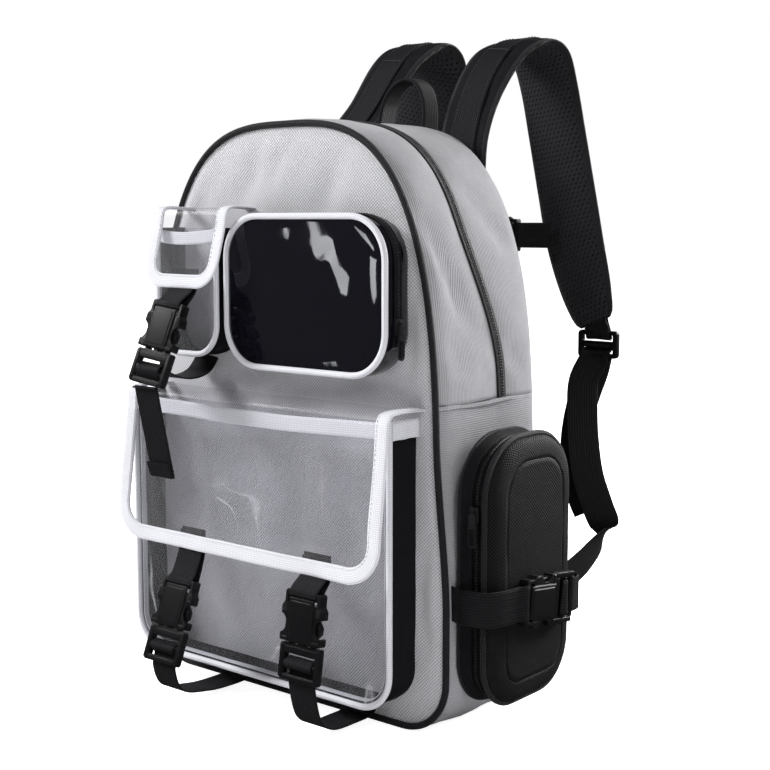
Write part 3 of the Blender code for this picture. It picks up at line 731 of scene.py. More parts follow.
def joined(name, objects):
    """One object from several, keeping their materials."""
    bm = bmesh.new()
    materials = []
    bm.loops.layers.uv.new("UVMap")
    for o in objects:
        start = len(bm.faces)
        bm.from_mesh(o.data)
        bm.faces.ensure_lookup_table()
        slots = []
        for material in o.data.materials:
            if material not in materials:
                materials.append(material)
            slots.append(materials.index(material))
        for f in bm.faces[start:]:
            f.material_index = slots[min(f.material_index, len(slots) - 1)]
    mesh = bpy.data.meshes.new(name)
    bm.to_mesh(mesh)
    bm.free()
    for material in materials:
        mesh.materials.append(material)
    for o in objects:
        bpy.data.objects.remove(o)
    return link_object(name, mesh)


def polar_sheet(name, ring, centre, depth, rings, materials):
    """A sheet in the XZ plane from a centre out to a ring; depth(x, z, r) is its y."""
    points, uvs = [], []
    c = np.array(centre)
    for r in 1 - (1 - np.linspace(0, 1, rings)) ** 1.25:
        row = [c + (p - c) * r for p in ring]
        points.append([(x, depth(x, z, r), z) for x, z in row])
        uvs.append(row)
    return grid(name, points, uvs, materials)


# =============================================================== the bag's outline
BODY_H, HALF_W = 0.450, 0.1495
ARCH_Z, ARCH_POWER = 0.150, 3.04      # where the superelliptic arch springs
FLARE, CORNER_R = 0.009, 0.042        # widening towards the foot; foot corners
SEAM_Z = 0.243
FRONT_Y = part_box("front_panel_lower")[0][1]
BACK_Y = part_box("back_panel")[1][1]
PANEL_CENTRE = (0.0, 0.21)            # x, z


def flare(z):
    return FLARE * smooth01((0.22 - z) / 0.13)


def half_width(z):
    arch = HALF_W
    if z >= ARCH_Z:
        t = min(1.0, (z - ARCH_Z) / (BODY_H - ARCH_Z))
        arch = HALF_W * (1 - t**ARCH_POWER) ** (1 / ARCH_POWER)
    return arch + flare(z)


def raw_outline():
    """The closed (x, z) outline, anticlockwise from the front, from the middle of the foot."""
    corner_x = half_width(CORNER_R) - CORNER_R
    right = [(x, 0.0) for x in np.linspace(0, corner_x, 12)]
    right += [(corner_x + CORNER_R * math.sin(a), CORNER_R - CORNER_R * math.cos(a))
              for a in np.linspace(0, math.pi / 2, 14)[1:]]
    right += [(half_width(z), z) for z in np.linspace(CORNER_R, ARCH_Z, 20)[1:]]
    for a in np.linspace(0, math.pi / 2, 60)[1:-1]:
        z = ARCH_Z + (BODY_H - ARCH_Z) * math.sin(a) ** (2 / ARCH_POWER)
        right.append((HALF_W * math.cos(a) ** (2 / ARCH_POWER) + flare(z), z))
    right.append((0.0, BODY_H))
    return np.array(right + [(-x, z) for x, z in right[-2::-1]])


OUT = even(raw_outline(), 0.003)
OUT_N = soften(ring_normals(OUT), 3)
OUT_N[0] = OUT_N[-1] = (0, -1)

# the outline's points nearest the side seams are moved onto them
middle = len(OUT) // 2
seam_right = min(range(middle), key=lambda i: abs(OUT[i, 1] - SEAM_Z))
seam_left = min(range(middle, len(OUT)), key=lambda i: abs(OUT[i, 1] - SEAM_Z))
OUT[seam_right] = (half_width(SEAM_Z), SEAM_Z)
OUT[seam_left] = (-half_width(SEAM_Z), SEAM_Z)
OVER = list(range(seam_right, seam_left + 1))                                # over the arch
UNDER = list(range(seam_left, len(OUT))) + list(range(1, seam_right + 1))    # round the foot


def zip_y(z):
    return -0.010 + 0.025 * smooth01((0.38 - z) / 0.12)


def fold_place(x, z, fold):
    """How far along a fold a point lies (0 to 1), and how far off its line."""
    x0, z0, x1, z1 = fold[:4]
    dx, dz = x1 - x0, z1 - z0
    along = ((x - x0) * dx + (z - z0) * dz) / (dx * dx + dz * dz)
    return along, ((x - x0) * dz - (z - z0) * dx) / math.hypot(dx, dz)


# =============================================================== gusset walls
# folds in the gusset: from y, z to y, z; half width; depth
FOLDS = (
    (-0.064, 0.392, -0.022, 0.300, 0.0075, 0.0042),
    (0.004, 0.400, 0.044, 0.352, 0.0100, 0.0030),
    (-0.010, 0.300, 0.040, 0.262, 0.0090, 0.0026),
    (-0.062, 0.300, -0.030, 0.262, 0.0070, 0.0024),
    (-0.060, 0.120, -0.034, 0.050, 0.0080, 0.0028),
    (-0.060, 0.225, -0.030, 0.190, 0.0070, 0.0024),
)
TUCK_RUN = 0.007       # how far in from a seam its tuck fades out
FRONT_EDGE, BACK_EDGE = FRONT_Y + 0.0045, BACK_Y - 0.0006
ZIP_EDGE = 0.0044      # from the zip's middle to the gusset's edge


def wall(name, ids, y0, y1, material, front_tuck, rear_tuck, bulge, segments, seed):
    """A gusset: a run of the outline swept from depth y0(z) to y1(z), swelling between."""
    points, uvs = [], []
    for i, run in zip(ids, lengths(OUT[ids])):
        (x, z), (out_x, out_z) = OUT[i], OUT_N[i]
        front, depth = y0(z), y1(z) - y0(z)
        row, row_uvs = [], []
        for k in range(segments + 1):
            t = 0.5 - 0.5 * math.cos(math.pi * k / segments)
            y = front + depth * t
            free = math.sin(math.pi * t)
            d = bulge * free ** 0.7
            d -= front_tuck * (1 - smooth01(t * depth / TUCK_RUN))
            d -= rear_tuck * (1 - smooth01((1 - t) * depth / TUCK_RUN))
            d += free * (0.0038 * ripple(x, y * 1.3, z * 0.8, 15, seed)
                         + 0.0013 * ripple(x, y, z, 40, seed + 5))
            for fold in FOLDS:
                half, deep = fold[4:]
                u, off = fold_place(y, z, fold)
                dent = (math.exp(-(off / half) ** 2)
                        - 0.5 * math.exp(-((off - 1.6 * half) / half) ** 2))
                d -= free * deep * dent * smooth01((u + 0.2) / 0.4) * smooth01((1.2 - u) / 0.5)
            row.append((x + out_x * d, y, max(0.0003, z + out_z * d)))
            row_uvs.append((y, run))
        points.append(row)
        uvs.append(row_uvs)
    o = outward(grid(name, points, uvs, [material, LINING]))
    return thicken(o, 0.0016, lined=True)


LID_HINGE = ("pack_body", "front_lid", (0, -0.0655, 0.2435), (0, -0.0655, 0.300))
PANEL_HINGE = ("pack_body", "front_lid", (0, -0.0655, 0.2425), (0, -0.0655, 0.252))

tub = wall("side_and_base", UNDER, lambda z: FRONT_EDGE, lambda z: BACK_EDGE, GREY_SIDE_SHADED,
           0.0025, 0.0030, 0.0020, segments=18, seed=1.0)
assign(tub, "grey_canvas", ride="pack_body", replaces="lower_tub")
arch_front = wall("arch_gusset_front", OVER, lambda z: FRONT_EDGE,
                  lambda z: zip_y(z) - ZIP_EDGE, GREY_ARCH,
                  0.0025, 0.0004, 0.0016, segments=10, seed=3.0)
assign(arch_front, "grey_canvas", replaces="front_gusset", blend=LID_HINGE)
arch_rear = wall("arch_gusset_rear", OVER, lambda z: zip_y(z) + ZIP_EDGE,
                 lambda z: BACK_EDGE, GREY_ARCH,
                 0.0004, 0.0030, 0.0020, segments=10, seed=7.0)
assign(arch_rear, "grey_canvas", ride="pack_body", replaces="rear_gusset")

# =============================================================== front panel and main zip
# creases in the front panel: from x, z to x, z; half width; depth before the gain
CREASES = (
    (-0.060, 0.440, -0.120, 0.330, 0.011, 0.0016), (-0.020, 0.440, -0.050, 0.388, 0.010, 0.0014),
    (0.070, 0.432, 0.030, 0.384, 0.012, 0.0015), (0.132, 0.350, 0.126, 0.262, 0.006, 0.0018),
    (0.136, 0.245, 0.060, 0.262, 0.008, 0.0014), (0.138, 0.150, 0.140, 0.060, 0.005, 0.0016),
    (-0.030, 0.255, -0.042, 0.330, 0.006, 0.0012), (0.030, 0.120, 0.110, 0.040, 0.010, -0.0016),
    (-0.100, 0.150, -0.030, 0.060, 0.012, 0.0014), (0.010, 0.446, -0.012, 0.400, 0.007, 0.0012),
    (0.112, 0.402, 0.136, 0.330, 0.007, 0.0014), (-0.118, 0.300, -0.140, 0.250, 0.007, 0.0012),
)
CREASE_GAIN = 3.2
# pocket corners (x, z) that soft pulls spread from, and their reach
PULLS = ((0.121, 0.378), (0.121, 0.264), (-0.038, 0.264),
         (0.130, 0.241), (-0.138, 0.241), (0.130, 0.024))
PULL_REACH = 0.06


def front_depth(x, z, r):
    crown = 0.0030 * (1 - r**3)
    pinch = 0.0022 * smooth01((r - 0.93) / 0.07)
    pucker = 0.0030 * ripple(x, 0.3, z * 0.8, 15, 2.0) + 0.0014 * ripple(x, 0.9, z, 38, 4.0)
    for cx, cz in PULLS:
        fade = max(0.0, 1 - math.hypot(x - cx, z - cz) / PULL_REACH)
        pucker += 0.0010 * fade * math.sin(5 * math.atan2(z - cz, x - cx) + cx * 40)
    for crease in CREASES:
        half, deep = crease[4:]
        t, off = fold_place(x, z, crease)
        off += 0.004 * math.sin(t * 5 + crease[0] * 60)
        pucker -= (deep * CREASE_GAIN * math.exp(-(off / half) ** 2)
                   * smooth01((t + 0.2) / 0.35) * smooth01((1.2 - t) / 0.5))
    return FRONT_Y - 0.0006 - crown + pinch - pucker * (1 - r**4)


def outline_cord(name, inset, y, radius, material, n):
    path = [(x, y, z) for x, z in OUT - OUT_N * inset]
    return cord(name, path, radius, material, closed=True, n=n)


front = polar_sheet("front_panel", OUT - OUT_N * 0.0030, PANEL_CENTRE, front_depth, 34,
                    [GREY, LINING])
thicken(outward(front, (0, 0.2, 0.2)), 0.0014, lined=True)
assign(front, "grey_canvas", replaces="front_panel_lower front_panel_upper", blend=PANEL_HINGE)
piping = outline_cord("front_edge_piping", 0.0026, FRONT_Y + 0.0012, 0.0026, PIPING, 12)
assign(piping, "black_fabric", replaces="front_piping_lower front_piping_upper",
       blend=PANEL_HINGE)

# section of half the main zip: from its middle, out from the gusset
ZIP_SECTION = (
    (0.00015, -0.0008), (0.00015, 0.0012), (0.0006, 0.0017), (0.0012, 0.0016), (0.0017, 0.0012),
    (0.0026, 0.0012), (0.0038, 0.0011), (0.0049, 0.0009), (0.0053, 0.0002), (0.0050, -0.0010),
)


def zip_half(name, side):
    """Half of the coil and its tape, in front of (-1) or behind (1) the zip's line."""
    points, uvs = [], []
    for i, run in zip(OVER, lengths(OUT[OVER])):
        (x, z), (out_x, out_z) = OUT[i], OUT_N[i]
        points.append([(x + out_x * d, zip_y(z) + side * y, z + out_z * d)
                       for y, d in ZIP_SECTION])
        uvs.append([(y, run) for y, _ in ZIP_SECTION])
    coil_first = [[1, 1, 1, 0, 0, 0, 0, 0, 0]] * (len(OVER) - 1)
    return outward(grid(name, points, uvs, [PIPING, COIL], coil_first))


assign(zip_half("main_zip_front", -1), "black_fabric", replaces="zip_tape_front",
       blend=LID_HINGE)
assign(zip_half("main_zip_rear", 1), "black_fabric", ride="pack_body", replaces="zip_tape_rear")


def side_seam(side, label):
    """The seam under the zip's end, with its top stitching."""
    path = []
    for y in np.linspace(FRONT_Y + 0.0030, BACK_Y - 0.0040, 44):
        swell = 0.0020 * math.sin(math.pi * (y - FRONT_Y) / (BACK_Y - FRONT_Y)) ** 0.7
        tuck = 0.0016 * (1 - smooth01((y - FRONT_Y - 0.003) / TUCK_RUN))
        tuck += 0.0016 * (1 - smooth01((BACK_Y - 0.004 - y) / TUCK_RUN))
        path.append((side * (half_width(SEAM_Z) + swell + 0.0001 - tuck), y,
                     SEAM_Z - 0.0016 + 0.0004 * math.sin(y * 90)))
    seam = sweep("side_seam_" + label, path, (0, 0, 1), strap_section(0.0030, 0.0006, n=3),
                 GREY_SIDE_SHADED)
    assign(seam, "grey_canvas", ride="pack_body")
    line = [(x + side * 0.0004, y, z - 0.0006) for x, y, z in path]
    stitching = stitches("side_seam_stitch_" + label, line, (side, 0, 0), THREAD_LIGHT)
    assign(stitching, "grey_canvas", ride="pack_body")


side_seam(1, "right")
side_seam(-1, "left")


# =============================================================== back panel
def back_depth(x, z, r):
    return BACK_Y - 0.0006 - 0.0012 * smooth01((r - 0.93) / 0.07) + 0.0004 * ripple(x, 2, z, 30, 3.0)


CUSHION_RINGS = (1.0, 0.93, 0.86, 0.78, 0.70, 0.62, 0.54, 0.46, 0.38, 0.30, 0.22, 0.14, 0.07)
CLOTH_FRAMES = 20


def inflate(o):
    """Blows a pinned sheet up with a short cloth simulation."""
    m = o.modifiers.new("cloth", "CLOTH")
    cloth = m.settings
    cloth.quality, cloth.mass = 6, 0.25
    cloth.tension_stiffness = cloth.compression_stiffness = 12
    cloth.shear_stiffness, cloth.bending_stiffness = 6, 0.4
    cloth.use_pressure, cloth.uniform_pressure_force = True, 3.0
    cloth.effector_weights.gravity = 0
    cloth.vertex_group_mass = "pin"
    cloth.shrink_min = -0.045
    m.collision_settings.use_collision = False
    m.collision_settings.use_self_collision = False
    m.point_cache.frame_start, m.point_cache.frame_end = 1, CLOTH_FRAMES
    for frame in range(1, CLOTH_FRAMES + 1):
        bpy.context.scene.frame_set(frame)
    bake(o)
    bpy.context.scene.frame_set(1)


def padded_cushion(name, ring, centre, depth):
    """A flat pad blown up with its rim held, then scaled to a fixed rise."""
    n = len(ring) - 1
    cx, cz = centre
    bm = bmesh.new()
    rings = [[bm.verts.new((cx + (x - cx) * r, depth, cz + (z - cz) * r)) for x, z in ring[:-1]]
             for r in CUSHION_RINGS]
    hub = bm.verts.new((cx, depth, cz))
    for a, b in zip(rings[:-1], rings[1:]):
        for i in range(n):
            j = (i + 1) % n
            bm.faces.new((a[i], a[j], b[j], b[i]))
    for i in range(n):
        bm.faces.new((rings[-1][i], rings[-1][(i + 1) % n], hub))
    bm.normal_update()
    if sum(f.normal.y for f in bm.faces) < 0:
        bmesh.ops.reverse_faces(bm, faces=bm.faces)
    mesh = bpy.data.meshes.new(name)
    bm.to_mesh(mesh)
    bm.free()
    o = link_object(name, mesh)
    o.vertex_groups.new(name="pin").add(list(range(n)), 1.0, "REPLACE")
    inflate(o)

    co = np.empty(len(o.data.vertices) * 3)
    o.data.vertices.foreach_get("co", co)
    co = co.reshape(-1, 3)
    rise = co[:, 1] - depth
    top = rise.max()
    if top > 1e-5:
        rise = np.clip(rise / max(top, 0.0045) * 0.0075, -0.0002, 0.0085)
    co[:, 1] = depth + rise
    o.data.vertices.foreach_set("co", co.reshape(-1))
    layer = o.data.uv_layers.new(name="UVMap")
    index = np.empty(len(o.data.loops), int)
    o.data.loops.foreach_get("vertex_index", index)
    layer.data.foreach_set("uv", co[index][:, [0, 2]].reshape(-1))
    o.data.materials.append(MESH)
    o.data.shade_smooth()
    return o


back = polar_sheet("back_field", OUT - OUT_N * 0.0034, PANEL_CENTRE, back_depth, 26,
                   [MESH, LINING])
thicken(outward(back, (0, 0, 0.2)), 0.0016, lined=True)
back_binding = outline_cord("back_edge_binding", 0.0048, BACK_Y - 0.0010, 0.0019, NYLON, 10)
# name; x0, x1, z0, z1, corner radius; centre x, z
PADS = (
    ("back_pad_left", (-0.112, -0.016, 0.105, 0.375, 0.030), (-0.064, 0.24)),
    ("back_pad_right", (0.016, 0.112, 0.105, 0.375, 0.030), (0.064, 0.24)),
    ("back_pad_foot", (-0.118, 0.118, 0.030, 0.092, 0.024), (0.0, 0.061)),
)
for name, box, centre in PADS:
    ring = rounded_box(*box)
    pad = padded_cushion(name, ring, centre, BACK_Y - 0.0004)
    pad_rim = cord(name + "_rim", [(x, BACK_Y - 0.0002, z) for x, z in ring], 0.0012, NYLON,
                   closed=True, n=8)
    assign(pad, "black_fabric", ride="pack_body")
    assign(pad_rim, "black_fabric", ride="pack_body")
assign(back, "black_fabric", ride="pack_body", replaces="back_panel")
assign(back_binding, "black_fabric", ride="pack_body")


# =============================================================== pocket parts
def gusset(name, ring, normals, y0, y1, material, bulge=0.0012, segments=12, thick=0.0012,
           seed=1.0):
    """A pocket's side wall, from y0 forward to y1."""
    points, uvs = [], []
    for (x, z), (out_x, out_z), run in zip(ring, normals, lengths(ring)):
        row, row_uvs = [], []
        for k in range(segments + 1):
            t = k / segments
            y = y0 + (y1 - y0) * t
            free = math.sin(math.pi * t)
            d = bulge * free**0.6 + free * (0.0010 * ripple(x, y, z, 40, seed)
                                            + 0.0006 * ripple(x, y, z, 95, seed + 3))
            row.append((x + out_x * d, y, z + out_z * d))
            row_uvs.append((y, run))
        points.append(row)
        uvs.append(row_uvs)
    centre = (float(np.mean(ring[:, 0])), (y0 + y1) / 2, float(np.mean(ring[:, 1])))
    return thicken(outward(grid(name, points, uvs, material), centre), thick)


def film(name, ring, centre, y, material, crown, wrinkle, rings, seed):
    """A face sheet inside a ring, swelling a little, with soft wrinkles."""
    def depth(x, z, r):
        free = 1 - r**2.2
        folds = ripple(x, 0.1, z * 0.6, 26, seed) + 0.6 * ripple(x, 0.4, z * 0.6, 60, seed + 2)
        return y - crown * free - wrinkle * free * folds
    o = polar_sheet(name, ring, centre, depth, rings, material)
    return outward(o, (centre[0], y + 0.2, centre[1]))


def welt(name, ring, y, radius, closed=False):
    return cord(name, [(x, y, z) for x, z in ring], radius, WHITE, closed=closed, n=12)


def mouth_tape(name, x0, x1, y, z1, width, body, bow):
    """White tape across the front of a pocket's mouth."""
    points, uvs = [], []
    for x in np.linspace(x0, x1, 60):
        sag = math.sin(math.pi * (x - x0) / (x1 - x0))
        row, row_uvs = [], []
        for k in range(7):
            d = width * k / 6
            row.append((x, y - 0.0012 - bow * sag * 0.35 - 0.0006 * ripple(x, 0, d, 30, 3),
                        z1 - d - 0.0025 * sag + 0.0008 * ripple(x, 0, 0, 20, 8)))
            row_uvs.append((d - width / 2, x))
        points.append(row)
        uvs.append(row_uvs)
    o = thicken(grid(name, points, uvs, WHITE), 0.0010, centred=True)
    assign(o, "white_piping", ride=body)


FACE_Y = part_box("big_pocket_gusset")[1][1]      # the face the pockets are sewn to
WALL_ROOT, WALL_LIP = FACE_Y + 0.001, 0.0012    # where walls start, and stop behind a welt

# =============================================================== big clear pocket
BIG_X, BIG_HALF, BIG_Z0, BIG_Z1, BIG_R, BIG_Y = -0.0060, 0.1355, 0.0225, 0.2345, 0.028, -0.0945
BIG_RING = open_ring(BIG_X - BIG_HALF, BIG_X + BIG_HALF, BIG_Z0, BIG_Z1, BIG_R)
BIG_N = ring_normals(BIG_RING, closed=False)
END_TAPE_W = 0.0135

assign(gusset("big_pocket_wall", BIG_RING, BIG_N, WALL_ROOT, BIG_Y + WALL_LIP, RIBKNIT,
              bulge=0.0014, seed=4.0),
       "black_fabric", ride="pack_body", replaces="big_pocket_gusset")
assign(welt("big_pocket_welt", BIG_RING, BIG_Y, 0.0024),
       "white_piping", ride="pack_body", replaces="big_pocket_piping")
assign(gusset("big_pocket_welt_tape", BIG_RING - BIG_N * 0.0040, BIG_N, BIG_Y + 0.0004,
              BIG_Y + 0.0052, WHITE, bulge=0.0, segments=4, thick=0.0008),
       "white_piping", ride="pack_body")
assign(film("big_pocket_film", close_mouth(BIG_RING, 60), (BIG_X, 0.128), BIG_Y + 0.0003, CLEAR,
            crown=0.0042, wrinkle=0.0014, rings=34, seed=9.0),
       "clear_vinyl", ride="pack_body", replaces="big_pocket_front")
mouth_tape("big_pocket_mouth_tape", BIG_X - BIG_HALF + 0.001, BIG_X + BIG_HALF - 0.001, BIG_Y,
           BIG_Z1 - 0.001, 0.0120, "pack_body", bow=0.0042)
for side, label in ((1, "right"), (-1, "left")):
    x = BIG_X + side * (BIG_HALF + 0.0028)
    ys, drops = np.linspace(FACE_Y, BIG_Y, 14), np.linspace(0, END_TAPE_W, 6)
    points = [[(x + side * 0.0006 * math.sin(i), y, BIG_Z1 + 0.0005 - d) for d in drops]
              for i, y in enumerate(ys)]
    end_tape = grid("big_pocket_end_tape_" + label, points, [[(d, y) for d in drops] for y in ys],
                    WHITE)
    assign(thicken(end_tape, 0.0012, centred=True), "white_piping", ride="pack_body")


# =============================================================== flaps
class Flap:
    """A sheet that leaves the bag at the back, folds over and hangs."""

    def __init__(self, x0, x1, side_view, corner, wobble, seed):
        self.cx, self.half, self.corner = (x0 + x1) / 2, (x1 - x0) / 2, corner
        self.wobble, self.seed = wobble, seed
        path = resample([(0, *p) for p in side_view], 0.0015)
        self.run = lengths(path)
        self.length = self.run[-1]
        t = tangents(path)
        self.side_view = path[:, 1:]
        # out of the face: up where it lies on top, forward where it hangs
        self.normals = np.stack([t[:, 2], -t[:, 1]], 1)

    def on(self, x, s, off=0.0):
        """The point at x, s along the flap and off its face."""
        q, n = interpolate(s, self.run, self.side_view), interpolate(s, self.run, self.normals)
        f = s / self.length
        u = (x - self.cx) / self.half
        d = off + self.wobble * smooth01((f - 0.25) / 0.5) * (
            0.9 * ripple(x, 0.2, f * 0.05, 14, self.seed)
            + 0.35 * ripple(x, 0.7, s, 34, self.seed + 4) + 0.35 * u * u)
        d += 0.0006 * ripple(x, 0.1, s, 30, self.seed + 9)
        return (x, q[0] + n[0] * d, q[1] + n[1] * d)

    def edge(self, inset, step=0.003):
        """The free edge's points (x, s), from the left of the root round to the right."""
        h, r, end = self.half - inset, self.corner - inset, self.length - inset
        points = [(-h, 0.0), (-h, end - r)]
        points += [(-h + r - r * math.cos(a), end - r + r * math.sin(a))
                   for a in np.linspace(0, math.pi / 2, 12)[1:]]
        points += [(h - r + r * math.sin(a), end - r + r * math.cos(a))
                   for a in np.linspace(0, math.pi / 2, 12)]
        points += [(h, 0.0)]
        edge = even(np.array(points), step)
        edge[:, 0] += self.cx
        return edge

    def sheet(self, name, inset=0.002):
        rows, uvs = [], []
        r = self.corner - inset
        for s in np.linspace(0, self.length - inset, 70):
            q = min(max(0.0, s - (self.length - self.corner)), r)
            half = self.half - inset - (r - math.sqrt(max(0.0, r * r - q ** 2)))
            xs = np.linspace(self.cx - half, self.cx + half, 70)
            rows.append([self.on(x, s) for x in xs])
            uvs.append([(x, s) for x in xs])
        y, z = self.side_view[-1]
        return outward(grid(name, rows, uvs, CLEAR_FLAP), (self.cx, y + 0.03, z))

    def binding(self, name, width, t=0.0009):
        """Tape of thickness t folded over the free edge."""
        edge = self.edge(0.0)
        tangent = tangents(edge)
        inward = np.stack([-tangent[:, 1], tangent[:, 0]], 1)
        if inward[0, 0] < 0:
            inward = -inward
        points, uvs = [], []
        for p, n, run in zip(edge, inward, lengths(edge)):
            w = width * (1 + 0.06 * ripple(run, 0, 0, 25, self.seed))
            section = [(w, 0.00025), (w - 0.0004, t)]
            section += [(w * k, t * (1 + 0.25 * math.sin(k * math.pi)))
                        for k in (0.8, 0.6, 0.4, 0.2)]
            section += [(0.0006, t * 0.9), (-0.0002, 0.0), (0.0006, -t * 0.9)]
            section += [(w * k, -t) for k in (0.2, 0.4, 0.6, 0.8)]
            section += [(w - 0.0004, -t), (w, -0.00025)]
            section.append(section[0])
            row = []
            for d, off in section:
                x, s = p + n * d
                row.append(self.on(x, max(0.0, s), off))
            points.append(row)
            uvs.append([(d - width / 2, run) for d, _ in section])
        o = grid(name, points, uvs, WHITE)
        with editing(o.data) as bm:
            bmesh.ops.recalc_face_normals(bm, faces=bm.faces)
        shade(o, 60)
        return o

    def stitching(self, name, inset):
        edge = self.edge(inset)
        points = [self.on(x, max(0.0, s), 0.0011) for x, s in edge]
        normals = [(0, *interpolate(s, self.run, self.normals)) for _, s in edge]
        return stitches(name, points, normals, THREAD_WHITE, lift=0.0001)

    def build(self, name, binding_width, stitch_inset, blend):
        sheet = self.sheet(name + "_film")
        binding = self.binding(name + "_binding", binding_width)
        stitching = self.stitching(name + "_stitch", stitch_inset)
        assign(sheet, "clear_vinyl", replaces=f"{name} {name}_top", blend=blend)
        assign(binding, "white_piping", blend=blend)
        assign(stitching, "white_piping", blend=blend)


def hang(top, tilt, drop):
    """The (y, z) a distance down a line that hangs from top, tilted forward."""
    return (top[0] - drop * math.sin(tilt), top[1] - drop * math.cos(tilt))


FLAP_ROOT_Y = FACE_Y + 0.0008
BIG_HANG, BIG_TILT, BIG_DROP = (-0.104, 0.238), rad(6.5), 0.119
Flap(-0.1390, 0.1380,
     [(FLAP_ROOT_Y, 0.2402), (-0.080, 0.2412), (-0.0945, 0.2412), (-0.1015, 0.2398),
      (-0.1045, 0.2350)] + [hang(BIG_HANG, BIG_TILT, d) for d in (0.012, 0.045, 0.080, BIG_DROP)],
     corner=0.030, wobble=0.0022, seed=3.0).build(
    "big_flap", binding_width=0.0120, stitch_inset=0.0104,
    blend=("pack_body", "big_flap", (0, -0.0985, 0.2405), (0, -0.1055, 0.2300)))

SMALL_HANG, SMALL_TILT, SMALL_DROP = (-0.0945, 0.3828), rad(15), 0.062
Flap(-0.1115, -0.0290,
     [(FLAP_ROOT_Y, 0.3836), (-0.0780, 0.3845), (-0.0890, 0.3846), (-0.0940, 0.3832),
      (-0.0962, 0.3790)] + [hang(SMALL_HANG, SMALL_TILT, d) for d in (0.011, 0.032, SMALL_DROP)],
     corner=0.022, wobble=0.0014, seed=8.0).build(
    "small_flap", binding_width=0.0108, stitch_inset=0.0092,
    blend=("front_lid", "small_flap", (0, -0.0900, 0.3846), (0, -0.0965, 0.3760)))

# =============================================================== black gloss pocket
GLOSS_X0, GLOSS_X1, GLOSS_Z0, GLOSS_Z1, GLOSS_R, GLOSS_Y = -0.038, 0.121, 0.264, 0.378, 0.032, -0.0890
GLOSS_CENTRE = ((GLOSS_X0 + GLOSS_X1) / 2, (GLOSS_Z0 + GLOSS_Z1) / 2)
GLOSS_RING = rounded_box(GLOSS_X0, GLOSS_X1, GLOSS_Z0, GLOSS_Z1, GLOSS_R, step=0.0025)
GLOSS_N = ring_normals(GLOSS_RING)

assign(gusset("gloss_pocket_wall", GLOSS_RING, GLOSS_N, WALL_ROOT, GLOSS_Y + 0.0014, PATENT,
              bulge=0.0010, seed=12.0),
       "black_gloss_vinyl", ride="front_lid", replaces="gloss_pocket_gusset")
gloss_face = film("gloss_pocket_film", GLOSS_RING, GLOSS_CENTRE, GLOSS_Y + 0.0002, PATENT,
                  crown=0.0036, wrinkle=0.0002, rings=30, seed=21.0)
thicken(gloss_face, 0.0010)
assign(gloss_face, "black_gloss_vinyl", ride="front_lid", replaces="gloss_pocket_face")
assign(welt("gloss_pocket_welt", GLOSS_RING, GLOSS_Y, 0.0024, closed=True),
       "white_piping", ride="front_lid", replaces="gloss_pocket_piping")
# the zip that runs round the pocket's wall, above its lower corners
zip_path = [(x, -0.0765, z) for (x, z), (_, base_z)
            in zip(GLOSS_RING + GLOSS_N * 0.0015, GLOSS_RING) if base_z > 0.285]
for name, width, thickness, material in (("gloss_zip_tape", 0.0085, 0.0007, NYLON),
                                         ("gloss_zip_coil", 0.0026, 0.0015, COIL)):
    band = sweep(name, zip_path, (0, 1, 0), strap_section(width, thickness, n=4), material)
    assign(band, "black_fabric", ride="front_lid")

# =============================================================== small clear pocket
SMALL_X0, SMALL_X1, SMALL_Z0, SMALL_Z1, SMALL_R, SMALL_Y = -0.1135, -0.0465, 0.270, 0.369, 0.024, -0.0920
SMALL_RING = open_ring(SMALL_X0, SMALL_X1, SMALL_Z0, SMALL_Z1, SMALL_R, step=0.0025)

assign(gusset("small_pocket_wall", SMALL_RING, ring_normals(SMALL_RING, closed=False), WALL_ROOT,
              SMALL_Y + WALL_LIP, RIBKNIT, seed=15.0),
       "black_fabric", ride="front_lid", replaces="small_pocket_gusset")
assign(welt("small_pocket_welt", SMALL_RING, SMALL_Y, 0.0023),
       "white_piping", ride="front_lid", replaces="small_pocket_piping")
assign(film("small_pocket_film", close_mouth(SMALL_RING, 30), ((SMALL_X0 + SMALL_X1) / 2, 0.322),
            SMALL_Y + 0.0003, CLEAR, crown=0.0032, wrinkle=0.0012, rings=26, seed=31.0),
       "clear_vinyl", ride="front_lid", replaces="small_pocket_front")
mouth_tape("small_pocket_mouth_tape", SMALL_X0 + 0.001, SMALL_X1 - 0.001, SMALL_Y,
           SMALL_Z1 - 0.001, 0.0100, "front_lid", bow=0.0030)

# =============================================================== buckles
MM = 0.001
BUCKLE = 0.89      # scale of the buckles, against their 42 mm hanging length


def eased(name, node, material, width):
    """A CAD fitting's own shape with its edges rounded."""
    source = NODES[node]
    evaluated = source.evaluated_get(bpy.context.evaluated_depsgraph_get())
    mesh = bpy.data.meshes.new_from_object(evaluated)
    mesh.transform(source.matrix_world)
    mesh.materials.clear()
    mesh.materials.append(material)
    o = link_object(name, mesh)
    with editing(mesh) as bm:
        bmesh.ops.remove_doubles(bm, verts=bm.verts, dist=1e-5)
        bmesh.ops.dissolve_limit(bm, angle_limit=rad(2), verts=bm.verts, edges=bm.edges)
    m = o.modifiers.new("bevel", "BEVEL")
    m.width, m.segments, m.limit_method, m.angle_limit = width, 3, "ANGLE", rad(28)
    bake(o)
    shade(o, 35)
    return o


